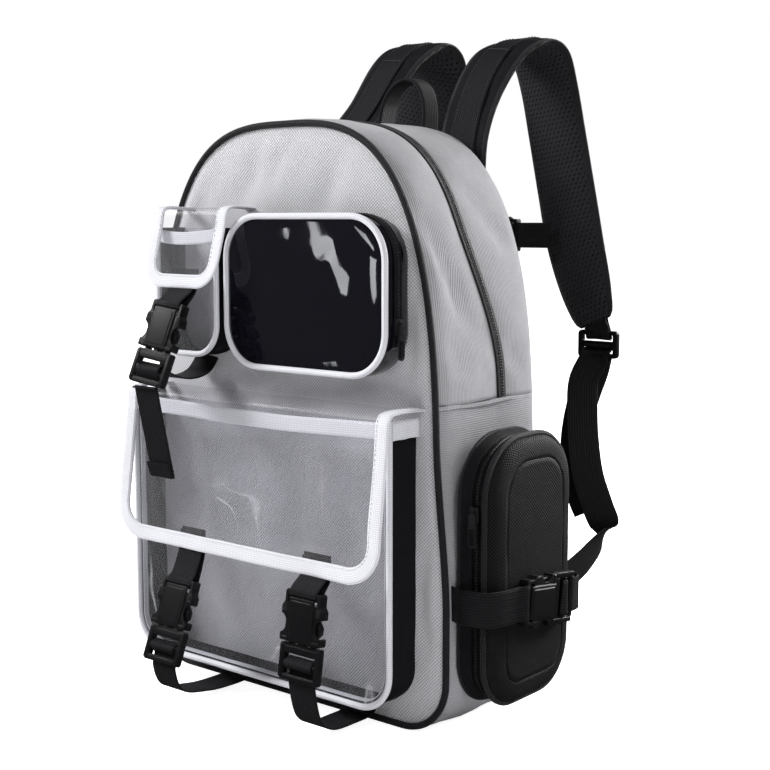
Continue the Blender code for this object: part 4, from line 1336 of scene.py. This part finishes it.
def lump(frame, material, low, high, radius, segments=3):
    """A small rounded block between two corners, in millimetres in a fitting's own frame."""
    low, high = Vector(low) * MM, Vector(high) * MM
    centre, size = (low + high) / 2, high - low
    bm = bmesh.new()
    bmesh.ops.create_cube(bm, size=1.0)
    for v in bm.verts:
        v.co = v.co * size + centre
    bmesh.ops.bevel(bm, geom=list(bm.edges), offset=min(radius * MM, min(size) * 0.49),
                    segments=segments, profile=0.6, affect="EDGES")
    bmesh.ops.transform(bm, matrix=frame, verts=bm.verts)
    mesh = bpy.data.meshes.new("lump")
    bm.to_mesh(mesh)
    bm.free()
    mesh.materials.append(material)
    mesh.shade_smooth()
    return link_object("lump", mesh)


def lumps(frame, boxes, material=PLASTIC):
    return [lump(frame, material, *box) for box in boxes]


# moulded detail in millimetres: low corner, high corner, edge radius, bevel segments
SOCKET_LUMPS = [
    ((-13.4, -6.2, 0.6), (13.4, -4.6, 36.2), 1.4, 4),      # raised face
    ((-10.8, -6.7, 3.2), (10.8, -5.6, 33.4), 1.0, 4),      # panel on it
    ((-20.8, -5.6, 0.2), (20.8, -4.4, 3.4), 0.6),          # ridge over the mouth
]
SOCKET_LUMPS += [((-14.5, -5.7, 38.2 + 1.25 * i), (14.5, -4.7, 38.9 + 1.25 * i), 0.3)
                 for i in range(3)]                        # ribs on the strap bar
SOCKET_LUMPS += [((x, -5.5, 24.0 + 1.7 * i), (x + 4.4, -4.7, 24.8 + 1.7 * i), 0.3)
                 for x in (-20.4, 16.0) for i in range(4)]     # ribs down both sides
PLUG_LUMPS = [((-17.0, -3.1, z0), (17.0, -2.1, z1), 0.6)
              for z0, z1 in ((-9.3, -4.0), (-20.3, -16.7), (-31.6, -27.8))]       # bars
PLUG_LUMPS += [((x - 1.1, -3.6, -20.0), (x + 1.1, -2.9, -17.2), 0.4)
               for x in (-12, -6, 0, 6, 12)]               # teeth on the middle bar
for rail_x, pad_x in ((-21.3, -19.4), (17.4, 17.2)):       # side rails and finger pads
    PLUG_LUMPS.append(((rail_x, -3.4, -30.5), (rail_x + 3.9, -2.2, -3.2), 0.6))
    PLUG_LUMPS += [((pad_x, -1.9, 10.0 + 1.6 * i), (pad_x + 2.2, 2.6, 10.7 + 1.6 * i), 0.3)
                   for i in range(4)]


def buckle(prefix, node, frame, scale, socket_body, plug_body):
    """Both halves of a side release buckle; node is the pattern of its CAD names."""
    frame = frame @ Matrix.Scale(scale, 4)
    for part, width, boxes, body in (("socket", 0.0007, SOCKET_LUMPS, socket_body),
                                     ("plug", 0.0006, PLUG_LUMPS, plug_body)):
        cad_name = node.format(part)
        core = eased(f"{prefix}_{part}", cad_name, PLASTIC, width * scale)
        o = joined(f"{prefix}_{part}_body", [core] + lumps(frame, boxes))
        assign(o, "black_plastic", ride=body, replaces=cad_name)


def placed(at, turn, scale=BUCKLE):
    """A buckle's frame, hung by its upper end, and the same frame at the buckle's scale."""
    frame = Matrix.Translation(Vector(at) + turn @ Vector((0, 0, -0.042 * scale))) @ turn
    return frame, frame @ Matrix.Scale(scale, 4)


def hanging(top, tilt, lean=0.0):
    return placed(top, Matrix.Rotation(lean, 4, "Y") @ Matrix.Rotation(-tilt, 4, "X"))


def through(frame, side_view):
    """A strap's path from (y, z) millimetres in a buckle's own frame."""
    return [tuple(frame @ Vector((0, y * MM, z * MM))) for y, z in side_view]


# once round the socket's strap bar: y, z
SOCKET_LOOP = ((-2.2, 45.5), (-4.8, 41.6), (-4.6, 38.4), (-1.6, 35.6), (1.6, 36.2),
               (4.0, 39.0), (4.2, 42.0))
# through the plug's three bars: y, z
PLUG_WEAVE = ((3.6, -27.0), (2.6, -23.8), (-2.4, -21.4), (-4.5, -18.4), (-2.4, -15.6),
              (2.6, -13.0), (4.2, -15.5), (4.9, -22.0), (5.2, -30.0))
X_AXIS, Z_AXIS = (1, 0, 0), (0, 0, 1)


def flap_tab(name, x, top, foot, lift, frame, body, replaces):
    """The webbing that holds a socket to its flap."""
    path = [(x, *top), (x, *foot), *through(frame, SOCKET_LOOP),
            (x, foot[0] + 0.0021, foot[1] - lift), (x, top[0] + 0.0019, top[1] + 0.002)]
    strap(name, path, X_AXIS, 0.0015, 0.0012, ride=body, replaces=replaces)


# ---- two buckles on the big flap: side, top, tilt
FRONT_BUCKLES = (("left", (-0.0545, -0.1235, 0.0970), rad(22)),
                 ("right", (0.0765, -0.1225, 0.1100), rad(8.6)))
for side, top, tilt in FRONT_BUCKLES:
    frame, scaled_frame = hanging(top, tilt)
    buckle("front_" + side, "front_buckle_{}_" + side, frame, BUCKLE, "big_flap",
           "front_plug_" + side)
    sewn = (BIG_HANG[0] + 0.0022, BIG_HANG[1])
    flap_tab("flap_tab_" + side, top[0], hang(sewn, BIG_TILT, 0.1050),
             hang(sewn, BIG_TILT, 0.118), 0.004, scaled_frame, "big_flap", "flap_strap_" + side)
    # from the foot of the panel, forward under the pocket, up and through the plug's bars
    x, y, z = frame @ Vector((0, 0, -0.0335 * BUCKLE))
    path = [(x + 0.004, -0.0665, 0.0100), (x + 0.004, -0.0720, 0.0074),
            (x + 0.003, -0.0880, 0.0062), (x + 0.002, -0.1120, 0.0076),
            (x + 0.001, y + 0.0100, 0.0150), (x, y + 0.0035, z - 0.0022)]
    strap("pocket_strap_" + side, path + through(scaled_frame, PLUG_WEAVE), X_AXIS, 0.0014, 0.0015,
          replaces="lower_strap_" + side,
          blend=("pack_body", "front_plug_" + side, (x, y + 0.010, 0.0150),
                 (x, y + 0.0035, z - 0.0010)))


def small_buckle():
    """The small flap's buckle, its straps and its hanging tail."""
    top = (-0.0670, -0.1185, 0.3115)
    frame, scaled_frame = hanging(top, rad(20), rad(6))
    buckle("small", "small_buckle_{}", frame, BUCKLE, "small_flap", "small_plug")
    hang_y, hang_z = SMALL_HANG
    flap_tab("small_flap_tab", top[0], hang((hang_y + 0.0022, hang_z), SMALL_TILT, 0.0490),
             hang((hang_y + 0.0024, hang_z), SMALL_TILT, 0.061), 0.003, scaled_frame,
             "small_flap", "small_flap_strap")
    x, y, z = frame @ Vector((0, 0.0052, -0.0140 * BUCKLE))
    path = [(x - 0.013, FACE_Y - 0.0016, 0.2665), (x - 0.010, FACE_Y - 0.014, 0.2560),
            (x - 0.004, -0.1000, 0.2522), (x, y + 0.0090, z - 0.0075)]
    path += through(scaled_frame, ((3.4, -16.0), (-0.4, -13.0)))
    strap("small_pocket_strap", path, X_AXIS, 0.0014, 0.0015, replaces="small_lower_strap",
          blend=("front_lid", "small_plug", (x, y + 0.020, z - 0.012),
                 (x, y + 0.002, z - 0.002)))
    roll = ((1.6, -13.8), (-2.6, -15.4), (-4.6, -18.6), (-2.8, -22.6), (0.4, -25.6), (3.0, -28.4))
    strap("small_bar_roll", through(scaled_frame, roll), X_AXIS, 0.0014, 0.0012,
          ride="small_plug")
    assign(eased("small_tail_roll", "small_tail_turn", WEBBING, 0.0005), "black_webbing",
           ride="tail_turn", replaces="small_tail_turn")
    x, y, z = frame @ Vector((0, 0, -0.0350 * BUCKLE))
    # offsets from the foot of the plug: x, y, z
    tail = ((0, 0.0008, 0.0010), (0, 0.0030, -0.010), (0.0004, 0.0080, -0.034),
            (0, 0.0140, -0.060), (-0.0004, 0.0165, -0.0690), (-0.0004, 0.0168, -0.0715))
    hem = ((0, 0.0112, -0.0600), (0, 0.0146, -0.0713))
    for name, offsets, thickness, replaces in (("small_tail_webbing", tail, 0.0016, "small_tail"),
                                               ("small_tail_hem", hem, 0.0014, "")):
        strap(name, [(x + dx, y + dy, z + dz) for dx, dy, dz in offsets], X_AXIS, thickness,
              0.0015, ride="small_tail", replaces=replaces)


def side_buckle():
    """The buckle and compression webbing outside the right-hand pouch."""
    level = 0.1020
    turn = (Matrix(((0, -1, 0), (0, 0, -1), (1, 0, 0))).to_4x4()
            @ Matrix.Rotation(rad(7), 4, "Y"))
    frame, scaled_frame = placed((0.1960, -0.0260, level), turn)
    buckle("side", "side_buckle_{}", frame, BUCKLE, "pack_body", "side_plug")
    # x, y, z below the buckle's level
    fore = ((0.1560, -0.0560, 0.001), (0.1606, -0.0575, 0.001), (0.1660, -0.0600, 0.001),
            (0.1780, -0.0615, 0), (0.1885, -0.0590, 0), (0.1938, -0.0500, 0),
            (0.1962, -0.0380, 0), (0.1975, -0.0300, 0))
    path = [(x, y, level - drop) for x, y, drop in fore]
    path += through(scaled_frame, ((-4.8, 41.0), (-4.4, 38.2), (-1.0, 35.8), (2.0, 38.5)))
    strap("side_strap_fore", path, Z_AXIS, 0.0015, 0.0015, ride="pack_body",
          replaces="side_strap_front")
    ex, ey, ez = frame @ Vector((0, 0, -0.0340 * BUCKLE))
    path = through(scaled_frame, ((-3.2, -13.0), (-4.6, -18.4), (-2.6, -22.4), (0.6, -26.0),
                                  (2.0, -31.0)))
    # x, y, z below the end of the plug
    aft = ((ex - 0.0022, ey + 0.0060, 0.0010), (0.1890, 0.0610, 0.0020),
           (0.1780, 0.0635, 0.0025), (0.1680, 0.0620, 0.0025), (0.1606, 0.0585, 0.0025),
           (0.1560, 0.0572, 0.0025))
    path += [(x, y, ez - drop) for x, y, drop in aft]
    strap("side_strap_aft", path, Z_AXIS, 0.0015, 0.0015, replaces="side_strap_rear",
          blend=("pack_body", "side_plug", (0.1890, 0.0610, ez), (ex, ey + 0.001, ez)))


small_buckle()
side_buckle()


# =============================================================== zip sliders and pulls
def zip_fitting(prefix, node, body, out):
    """A slider and its pull; out is the way they face."""
    out = Vector(out)
    turn = Matrix((Vector(Z_AXIS).cross(out), out, Vector(Z_AXIS))).transposed().to_4x4()

    def frame_of(part):
        low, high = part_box(part)
        return Matrix.Translation((Vector(low) + Vector(high)) / 2) @ turn

    slider, pull = node + "_slider", node + "_pull"
    parts = [eased(prefix + "_slider_body", slider, ENAMEL, 0.0006)]
    parts += lumps(frame_of(slider), (              # two posts and the bridge over them
        ((-1.2, 1.0, -3.6), (1.2, 2.6, -2.4), 0.4), ((-1.2, 1.0, 2.4), (1.2, 2.6, 3.6), 0.4),
        ((-1.0, 2.0, -3.6), (1.0, 2.8, 3.6), 0.4)), ENAMEL)
    assign(joined(prefix + "_slider_metal", parts), "zip_metal", ride=body + "_slider",
           replaces=slider)
    parts = [eased(prefix + "_pull_tag", pull, ENAMEL, 0.0004)]
    parts += lumps(frame_of(pull), [((-2.2, 0.5, -10.5), (2.2, 1.2, 2.0), 0.4)])
    parts += lumps(frame_of(pull), [((-2.4, -1.0, 7.0), (2.4, 1.2, 8.2), 0.4)], ENAMEL)
    assign(joined(prefix + "_pull_metal", parts), "zip_metal", ride=body + "_pull", replaces=pull)


zip_fitting("main_zip", "main_zip", "main", (-1, 0, 0))
zip_fitting("gloss_zip", "gloss_pocket_zip", "gloss", (1, 0, 0))
zip_fitting("pouch_zip", "pouch_zip", "pouch", (0, -1, 0))

# =============================================================== side pouch, on the right
POUCH = rounded_box(-0.0525, 0.0555, 0.0225, 0.2205, 0.036, step=0.0035, top_r=0.044)    # y, z
POUCH_N = soften(ring_normals(POUCH), 2)
POUCH_INSIDE = (0.165, 0.0, 0.13)
DOME_X, DOME_INSET = 0.1896, 0.0180


def pouch_skin(name, stations, material, thick, replaces=""):
    """A skin through rings (x, inset) round the pouch's outline."""
    points, uvs = [], []
    for (x, inset), run in zip(stations, lengths(stations)):
        row = []
        for (y, z), (out_y, out_z) in zip(POUCH - POUCH_N * inset, POUCH_N):
            wobble = 0.0005 * ripple(x, y, z, 35, 6)
            if 0.160 < x < 0.1795:
                swell = 0.0010 * ripple(x * 2, y, z, 28, 9)
                y, z = y + out_y * swell, z + out_z * swell
            row.append((x + wobble, y, z))
        points.append(row)
        uvs.append([(run, around) for around in lengths(POUCH)])
    o = thicken(outward(grid(name, points, uvs, material), POUCH_INSIDE), thick)
    assign(o, "black_fabric", ride="pack_body", replaces=replaces)


def pouch_welt(name, x, inset, radius):
    path = [(x, y, z) for y, z in POUCH - POUCH_N * inset]
    assign(cord(name, path, radius, PIPING, across=X_AXIS, closed=True), "black_fabric",
           ride="pack_body")


def pouch_dome():
    """The shallow middle of the moulded cover."""
    centre = np.array([0.0015, 0.1215])
    points, uvs = [], []
    for r in np.linspace(1, 0, 22):
        row = [centre + (q - centre) * r for q in POUCH - POUCH_N * DOME_INSET]
        points.append([(DOME_X + 0.0012 * (1 - r**2) + 0.0003 * ripple(0.1, y, z, 30, 2), y, z)
                       for y, z in row])
        uvs.append(row)
    dome = outward(grid("pouch_cover_dome", points, uvs, EVA), POUCH_INSIDE)
    assign(thicken(dome, 0.0016), "black_fabric", ride="pack_body")


pouch_skin("pouch_shell", ((0.1580, 0.0040), (0.1590, -0.0010), (0.1620, -0.0012),
                           (0.1650, -0.0004), (0.1680, 0.0012), (0.1700, 0.0020)),
           NYLON, 0.0016, "pouch_case")
pouch_skin("pouch_zip_band", ((0.1698, 0.0026), (0.1712, 0.0020), (0.1728, 0.0019)),
           NYLON, 0.0008)
pouch_skin("pouch_zip_coil", ((0.1726, 0.0020), (0.1732, 0.0010), (0.1740, 0.0007),
                              (0.1748, 0.0010), (0.1754, 0.0020)), COIL, 0.0005)
pouch_skin("pouch_zip_band_outer", ((0.1752, 0.0019), (0.1768, 0.0018), (0.1788, 0.0016),
                                    (0.1802, 0.0010)), NYLON, 0.0008)
pouch_welt("pouch_welt", 0.1812, 0.0006, 0.0021)
pouch_welt("pouch_back_welt", 0.1604, -0.0004, 0.0017)
pouch_skin("pouch_cover_rim", ((0.1814, 0.0016), (0.1834, 0.0022), (0.1852, 0.0034),
                               (0.1868, 0.0056), (0.1879, 0.0084), (0.1887, 0.0118),
                               (0.1892, 0.0148), (DOME_X, DOME_INSET)),
           EVA, 0.0016, "pouch_cover")
pouch_dome()

# =============================================================== shoulder straps
# middle line from root to tip: x, y, z, width
SHOULDER = {
    "right": (
        (0.0730, 0.0655, 0.4120, 0.042), (0.0715, 0.0700, 0.4400, 0.044),
        (0.0690, 0.0880, 0.4730, 0.048), (0.0720, 0.1120, 0.5050, 0.053),
        (0.0790, 0.1380, 0.5190, 0.059), (0.0835, 0.1560, 0.5130, 0.061),
        (0.0875, 0.1670, 0.4850, 0.062), (0.0925, 0.1730, 0.4450, 0.062),
        (0.0995, 0.1770, 0.4000, 0.062), (0.1085, 0.1780, 0.3560, 0.061),
        (0.1200, 0.1780, 0.3180, 0.054), (0.1310, 0.1770, 0.2890, 0.040)),
    "left": (
        (-0.0575, 0.0655, 0.4120, 0.042), (-0.0560, 0.0700, 0.4400, 0.044),
        (-0.0450, 0.0920, 0.4740, 0.046), (-0.0390, 0.1160, 0.5070, 0.053),
        (-0.0350, 0.1420, 0.5240, 0.062), (-0.0330, 0.1600, 0.5170, 0.065),
        (-0.0420, 0.1710, 0.4890, 0.064), (-0.0550, 0.1760, 0.4480, 0.062),
        (-0.0740, 0.1780, 0.4020, 0.062), (-0.0930, 0.1785, 0.3560, 0.061),
        (-0.1100, 0.1780, 0.3180, 0.054), (-0.1230, 0.1770, 0.2890, 0.040)),
}
TOE = rad(10)                                                 # twist of the lower strap
TOE_SHARE = (0, 0, 0, 0, 0.3, 0.6, 1, 1, 1, 1, 1, 1)          # at each station
FACE_STEPS = 18                                               # across each face
# edge of the section: beyond the half width, out from the middle
STRAP_EDGE = ((0.0009, 0.0008), (0.0011, 0.0), (0.0009, -0.0008))
# each face: side, rim width, plain rise, padded rise, roundness, share of the quilting
STRAP_FACES = ((1, 0.0042, 0.0006, 0.0024, 2.6, 0.5),         # outer
               (-1, 0.0048, 0.0008, 0.0052, 2.4, 1.0))        # against the wearer
TACKS = (0.113, 0.188, 0.260)                                 # bar tacks, along the strap
ADJUSTER_BARS = (-10.1, 0.0, 9.6)                             # heights in millimetres

# long webbing: outward offset from the adjuster, y, z; its across vector on the right side
LONG_WEBBING = (
    (0, 0.1740, 0.2700, 1, 0, 0), (0, 0.1800, 0.2712, 1, 0, 0), (0, 0.1806, 0.2690, 1, 0, 0),
    (-0.001, 0.1775, 0.2655, 1, 0, 0), (-0.002, 0.1762, 0.2620, 1, 0, 0),
    (-0.004, 0.1760, 0.2575, 1.0, 0.15, 0), (-0.010, 0.1710, 0.2400, 0.95, 0.30, 0),
    (-0.006, 0.1630, 0.2150, 0.90, 0.42, 0.05), (0, 0.1560, 0.1900, 0.85, 0.50, 0.15),
    (0.007, 0.1530, 0.1620, 0.78, 0.50, 0.35), (0.016, 0.1550, 0.1360, 0.60, 0.40, 0.65),
    (0.023, 0.1550, 0.1180, 0.35, 0.15, 0.90), (0.022, 0.1300, 0.1000, 0.12, -0.20, 0.97),
    (0.018, 0.1000, 0.0860, 0.04, -0.38, 0.92),
)
ANCHOR = (0.1510, 0.0665, 0.0740)                             # its foot on the right side
ANCHOR_ACROSS = (0.0, -0.42, 0.90)
SLACK = {"right": 1.0, "left": 0.4}                           # of its outward bow
# loose end beside it: the same columns
LOOSE_END = (
    (-0.001, 0.1795, 0.2640, 0.98, 0.10, 0), (-0.006, 0.1800, 0.2480, 0.92, 0.35, 0),
    (-0.014, 0.1760, 0.2200, 0.85, 0.50, 0), (-0.016, 0.1700, 0.1900, 0.85, 0.50, 0.05),
    (-0.012, 0.1655, 0.1600, 0.85, 0.48, 0.15), (-0.004, 0.1640, 0.1400, 0.82, 0.48, 0.25),
    (0.001, 0.1650, 0.1290, 0.80, 0.48, 0.30),
)


def padding(name, path, half_widths, across, out, run):
    """The strap's skin: thin where it is sewn in, then padded, rounded off at the tip."""
    points, uvs = [], []
    end = run[-1]
    for p, e, a, n, u in zip(path, half_widths, across, out, run):
        pad = smooth01((u - 0.056) / 0.030) * smooth01((end - 0.002 - u) / 0.016)
        tip = end - u
        if tip < 0.012:
            e = e * (0.80 + 0.20 * math.sqrt(max(0.0, 1 - ((0.012 - tip) / 0.012) ** 2)))
        groove = math.exp(-((u % 0.072 - 0.036) / 0.006) ** 2)
        quilt = 0.0007 * ripple(*p, 30, 5) - 0.0010 * groove * pad
        section = []
        for side, rim_width, rise, puff, roundness, share in STRAP_FACES:
            for k in range(FACE_STEPS + 1):
                q = side * (-1 + 2 * k / FACE_STEPS)
                rim = smooth01((1 - abs(q)) * e / rim_width)
                y = 0.0013 + rim * (rise + pad * puff * (1 - abs(q) ** roundness)
                                    + quilt * share * pad)
                section.append((e * q, side * y))
            section += [(side * (e + dx), side * y) for dx, y in STRAP_EDGE]
        section.append(section[0])
        points.append([p + a * x + n * y for x, y in section])
        uvs.append([(x, u) for x, _ in section])
    # nylon outside, mesh inside, piping round both edges
    faces = []
    for cloth in (0, 1):
        faces += [2] + [cloth] * (FACE_STEPS - 2) + [2] * 5
    o = grid(name, points, uvs, [NYLON, MESH, PIPING], [faces] * (len(path) - 1))
    with editing(o.data) as bm:
        weld(bm)
        close_up(bm)
    o.data.shade_smooth()
    return o


def shoulder_strap(side):
    s = 1 if side == "right" else -1
    toe = TOE * s
    body = side + "_strap"
    stations = [(*line, math.cos(toe * k), -math.sin(toe * k), 0)
                for line, k in zip(SHOULDER[side], TOE_SHARE)]
    data = resample(stations, 0.004)
    path = data[:, :3]
    across, out = frames(path, data[:, 4:7])
    run = lengths(path)
    end = run[-1]
    root_blend = ("pack_body", body, (path[0][0], 0.0665, 0.4400), (path[0][0], 0.0885, 0.4455))
    skin = padding("padded_strap_" + side, path, data[:, 3] / 2, across, out, run)
    assign(skin, "black_fabric", replaces="shoulder_strap_" + side, blend=root_blend)

    # webbing sewn down the outer face
    lift = np.array([0.0044 - 0.0020 * max(smooth01((0.088 - u) / 0.05),
                                           smooth01((u - end + 0.018) / 0.018)) for u in run])
    top = path + out * lift[:, None]
    sewn = run > 0.010
    ribbon = sweep("strap_ribbon_" + side, top[sewn], across[sewn],
                   strap_section(0.0255, 0.0014), WEBBING)
    assign(ribbon, "black_webbing", blend=root_blend)
    for edge, label in ((-1, "_a"), (1, "_b")):
        line = (top + across * 0.0105 * edge + out * 0.0007)[sewn]
        row = stitches("strap_ribbon_stitch_" + side + label, line, out[sewn], THREAD_BLACK)
        assign(row, "black_webbing", blend=root_blend)
    for j, place in enumerate(TACKS):
        i = int(np.argmin(abs(run - place)))
        bar = [top[i] + across[i] * x + out[i] * 0.0008 for x in np.linspace(-0.0115, 0.0115, 12)]
        tack = stitches(f"bar_tack_{side}_{j}", bar, out[i], THREAD_BLACK,
                        pitch=0.0012, length=0.0011, radius=0.0005)
        assign(tack, "black_webbing", ride=body)

    # tab that holds the adjuster
    adjuster_x = path[-1][0] + 0.003 * s
    loop = ((0.1795, 0.2805), (0.1803, 0.2770), (0.1778, 0.2755), (0.1752, 0.2778),
            (0.1755, 0.2815))      # y, z
    tab = [path[i] + out[i] * off for i, off in ((-9, 0.0046), (-4, 0.0034), (-1, 0.0018))]
    tab += [(adjuster_x, *p) for p in loop] + [path[-1] - out[-1] * 0.0012]
    strap("adjuster_tab_" + side, tab, (math.cos(toe), -math.sin(toe), 0), 0.0014, 0.0015,
          width=0.0250, ride=body)

    adjuster = "adjuster_" + side
    parts = [eased("adjuster_frame_" + side, adjuster, PLASTIC, 0.0008)]
    parts += lumps(Matrix.Translation((adjuster_x, 0.1775, 0.2710)),
                   [((-16.0, 1.8, z - 1.2), (16.0, 3.0, z + 1.2), 0.6) for z in ADJUSTER_BARS])
    assign(joined("adjuster_body_" + side, parts), "black_plastic", ride=side + "_adjuster",
           replaces=adjuster)

    # webbing down to the foot of the bag, and its loose end hanging beside it
    def mirrored(table):
        return [(x, y * s, z * s) for *_, x, y, z in table]

    foot_blend = ("pack_body", body, (ANCHOR[0] * s, 0.0900, 0.0800),
                  (adjuster_x, 0.1770, 0.2500))
    points = [(adjuster_x + reach * s * (SLACK[side] if reach > 0 else 1), y, z)
              for reach, y, z, *_ in LONG_WEBBING]
    points.append((ANCHOR[0] * s, *ANCHOR[1:]))
    strap("long_webbing_" + side, points, mirrored(LONG_WEBBING + (ANCHOR_ACROSS,)),
          0.0015, 0.0022, replaces="strap_webbing_" + side, blend=foot_blend)
    strap("long_webbing_end_" + side,
          [(adjuster_x + reach * s, y, z) for reach, y, z, *_ in LOOSE_END],
          mirrored(LOOSE_END), 0.0015, 0.0022, blend=foot_blend)


shoulder_strap("right")
shoulder_strap("left")

# =============================================================== sternum strap
STERNUM_Y, STERNUM_Z, STERNUM_W = 0.1660, 0.3620, 0.0215
buckle("sternum", "sternum_buckle_{}",
       Matrix.Translation((0.0280, STERNUM_Y, STERNUM_Z))
       @ Matrix(((0, 0, 1), (0, -1, 0), (1, 0, 0))).to_4x4(),
       0.74, "right_strap", "sternum_plug")


def chest_strap(name, stations, step, **where):
    """Level webbing through stations: x, y off the sternum line."""
    strap(name, [(x, STERNUM_Y + dy, STERNUM_Z) for x, dy in stations], Z_AXIS, 0.0014, step,
          width=STERNUM_W, **where)


chest_strap("chest_strap_right",
            ((0.0565, -0.0010), (0.0604, -0.0012), (0.0660, 0), (0.0740, 0.0004),
             (0.0830, 0.0016), (0.0900, 0.0030)),
            0.0015, ride="right_strap", replaces="sternum_strap_right")
chest_strap("chest_strap_left",
            ((0.0080, 0.0030), (0.0045, 0.0022), (-0.0060, 0.0003), (-0.0300, 0.0016),
             (-0.0600, 0.0010), (-0.0760, 0.0024)),
            0.002, replaces="sternum_strap_left",
            blend=("left_strap", "sternum_plug", (-0.0700, STERNUM_Y, STERNUM_Z),
                   (-0.0120, STERNUM_Y, STERNUM_Z)))

# =============================================================== carry handle
arc = []
for i in range(25):
    a = math.pi * i / 24
    arc.append((0.009 - 0.0240 * math.cos(a) * (1.0 - 0.08 * math.sin(a)),
                0.0745 + 0.006 * math.sin(a), 0.4530 + 0.0370 * math.sin(a) ** 0.8))
# the arc without its crowded ends, and a root sewn in at each side
handle_path = [(arc[0][0] - 0.001, 0.0680, 0.4380), arc[0], *arc[3:-3], arc[-1],
               (arc[-1][0] + 0.001, 0.0680, 0.4380)]
strap("carry_loop", handle_path, (0, 1, 0), 0.0030, 0.0025, width=0.0190,
      replaces="carry_handle",
      blend=("pack_body", "handle", (0.011, 0.0700, 0.4460), (0.011, 0.0750, 0.4600)))

# =============================================================== floor and world
scene = bpy.context.scene


def studio_floor():
    g = Shader("studio_floor")
    seen = g.node("ShaderNodeLightPath", output="Is Camera Ray")
    material = g.principled(
        Base_Color=g.mix(g.noise(g.place(), scale=3, detail=3), (0.94, 0.94, 0.945),
                         (0.97, 0.97, 0.975)),
        Roughness=0.9, Specular_IOR_Level=0.1, Emission_Color=(1.0, 1.0, 1.0),
        Emission_Strength=seen * 0.92)
    bpy.ops.mesh.primitive_plane_add(size=30, location=(0, 0, -0.001))
    floor = bpy.context.object
    floor.name = "studio_floor"
    floor.data.materials.append(material)
    floor.visible_glossy = False


def studio_world():
    """White to the camera, a soft light to cloth, and a dim room to mirrors."""
    world = bpy.data.worlds.new("studio")
    scene.world = world
    world.use_nodes = True
    nodes, links = world.node_tree.nodes, world.node_tree.links
    background = nodes["Background"]
    background.inputs[0].default_value = (1.0, 1.0, 1.0, 1)
    rays = nodes.new("ShaderNodeLightPath")
    room = nodes.new("ShaderNodeMix")
    room.inputs[2].default_value, room.inputs[3].default_value = 0.26, 0.06
    links.new(rays.outputs["Is Glossy Ray"], room.inputs[0])
    strength = nodes.new("ShaderNodeMix")
    strength.inputs[3].default_value = 1.0
    links.new(rays.outputs["Is Camera Ray"], strength.inputs[0])
    links.new(room.outputs[0], strength.inputs[2])
    links.new(strength.outputs[0], background.inputs[1])


studio_floor()
studio_world()


# =============================================================== lights
def soft_light(name, location, target, size, power):
    data = bpy.data.lights.new(name, "AREA")
    data.shape, data.energy = "RECTANGLE", power
    data.size, data.size_y = size
    o = link_object(name, data)
    o.location = location
    aim = Vector(target) - Vector(location)
    o.rotation_euler = aim.to_track_quat("-Z", "Y").to_euler()
    return o


key = soft_light("key", (-3.4, -2.35, 2.95), target=(0, 0, 0.22), size=(1.5, 1.8), power=330)
key.visible_glossy = False
sheen = soft_light("sheen", (-1.7, -1.1, 1.6), target=(0, 0, 0.25), size=(0.5, 0.7), power=22)
sheen.visible_diffuse = False
soft_light("fill", (1.7, -0.8, 2.1), target=(0, 0, 0.36), size=(0.6, 0.9), power=19)
soft_light("rim", (0.8, 2.1, 1.3), target=(0, 0, 0.25), size=(1.0, 1.2), power=78)

# small bright windows that only mirrors see, for the patent pocket to pick up
CAMERA_AT = Vector((0.7357, -0.8278, 0.3754))
WINDOW_FAR = 0.7       # distance from the pocket's face
# name; the corners (x, z) where its reflection shows on the face
WINDOWS = (
    ("window_tall", ((0.050, 0.3740), (0.060, 0.3735), (0.064, 0.3640), (0.091, 0.3340),
                     (0.0885, 0.3215), (0.083, 0.3230), (0.072, 0.3440), (0.063, 0.3460),
                     (0.054, 0.3580))),
    ("window_edge", ((0.096, 0.3715), (0.107, 0.3650), (0.1135, 0.3560), (0.1125, 0.3540),
                     (0.105, 0.3610))),
    ("window_side", ((0.1105, 0.3500), (0.1155, 0.3480), (0.1150, 0.3230), (0.1120, 0.3170),
                     (0.1095, 0.3300))),
    ("window_dot", ((0.026, 0.3690), (0.030, 0.3700), (0.031, 0.3630), (0.028, 0.3610))),
    ("window_low", ((0.072, 0.2735), (0.075, 0.2735), (0.076, 0.2700), (0.074, 0.2700))),
)


def window_glow():
    g = Shader("window_glow")
    strength = 3.0 + g.noise(g.place(), scale=14) * 4.5
    return g.surface(g.node("ShaderNodeEmission", {0: (0.93, 0.95, 1.0), 1: strength}))


def window(name, corners, face, glow):
    """Places each corner along the camera's ray mirrored in the face."""
    to_face = face.matrix_world.inverted()
    points = []
    for x, z in corners:
        ray = (Vector((x, GLOSS_Y - 0.003, z)) - CAMERA_AT).normalized()
        hit, at, normal, _ = face.ray_cast(to_face @ CAMERA_AT, ray)
        if not hit:
            at, normal = Vector((x, GLOSS_Y, z)), Vector((0, -1, 0))
        normal = normal.normalized() if normal.y < 0 else Vector((0, -1, 0))
        points.append(at + (ray - 2 * ray.dot(normal) * normal) * WINDOW_FAR)
    mesh = bpy.data.meshes.new(name)
    mesh.from_pydata(points, [], [tuple(range(len(points)))])
    mesh.materials.append(glow)
    o = link_object(name, mesh)
    o.visible_camera = o.visible_diffuse = o.visible_transmission = False
    o.visible_shadow = o.visible_volume_scatter = False


glow = window_glow()
for name, corners in WINDOWS:
    window(name, corners, gloss_face, glow)

# =============================================================== camera
camera_data = bpy.data.cameras.new("camera")
camera = link_object("camera", camera_data)
camera.location = CAMERA_AT
camera.rotation_euler = (rad(83.14), 0, rad(39.76))
camera_data.lens, camera_data.sensor_width = 64.3, 36
camera_data.clip_start = 0.01
scene.camera = camera
scene.view_settings.view_transform = "Standard"
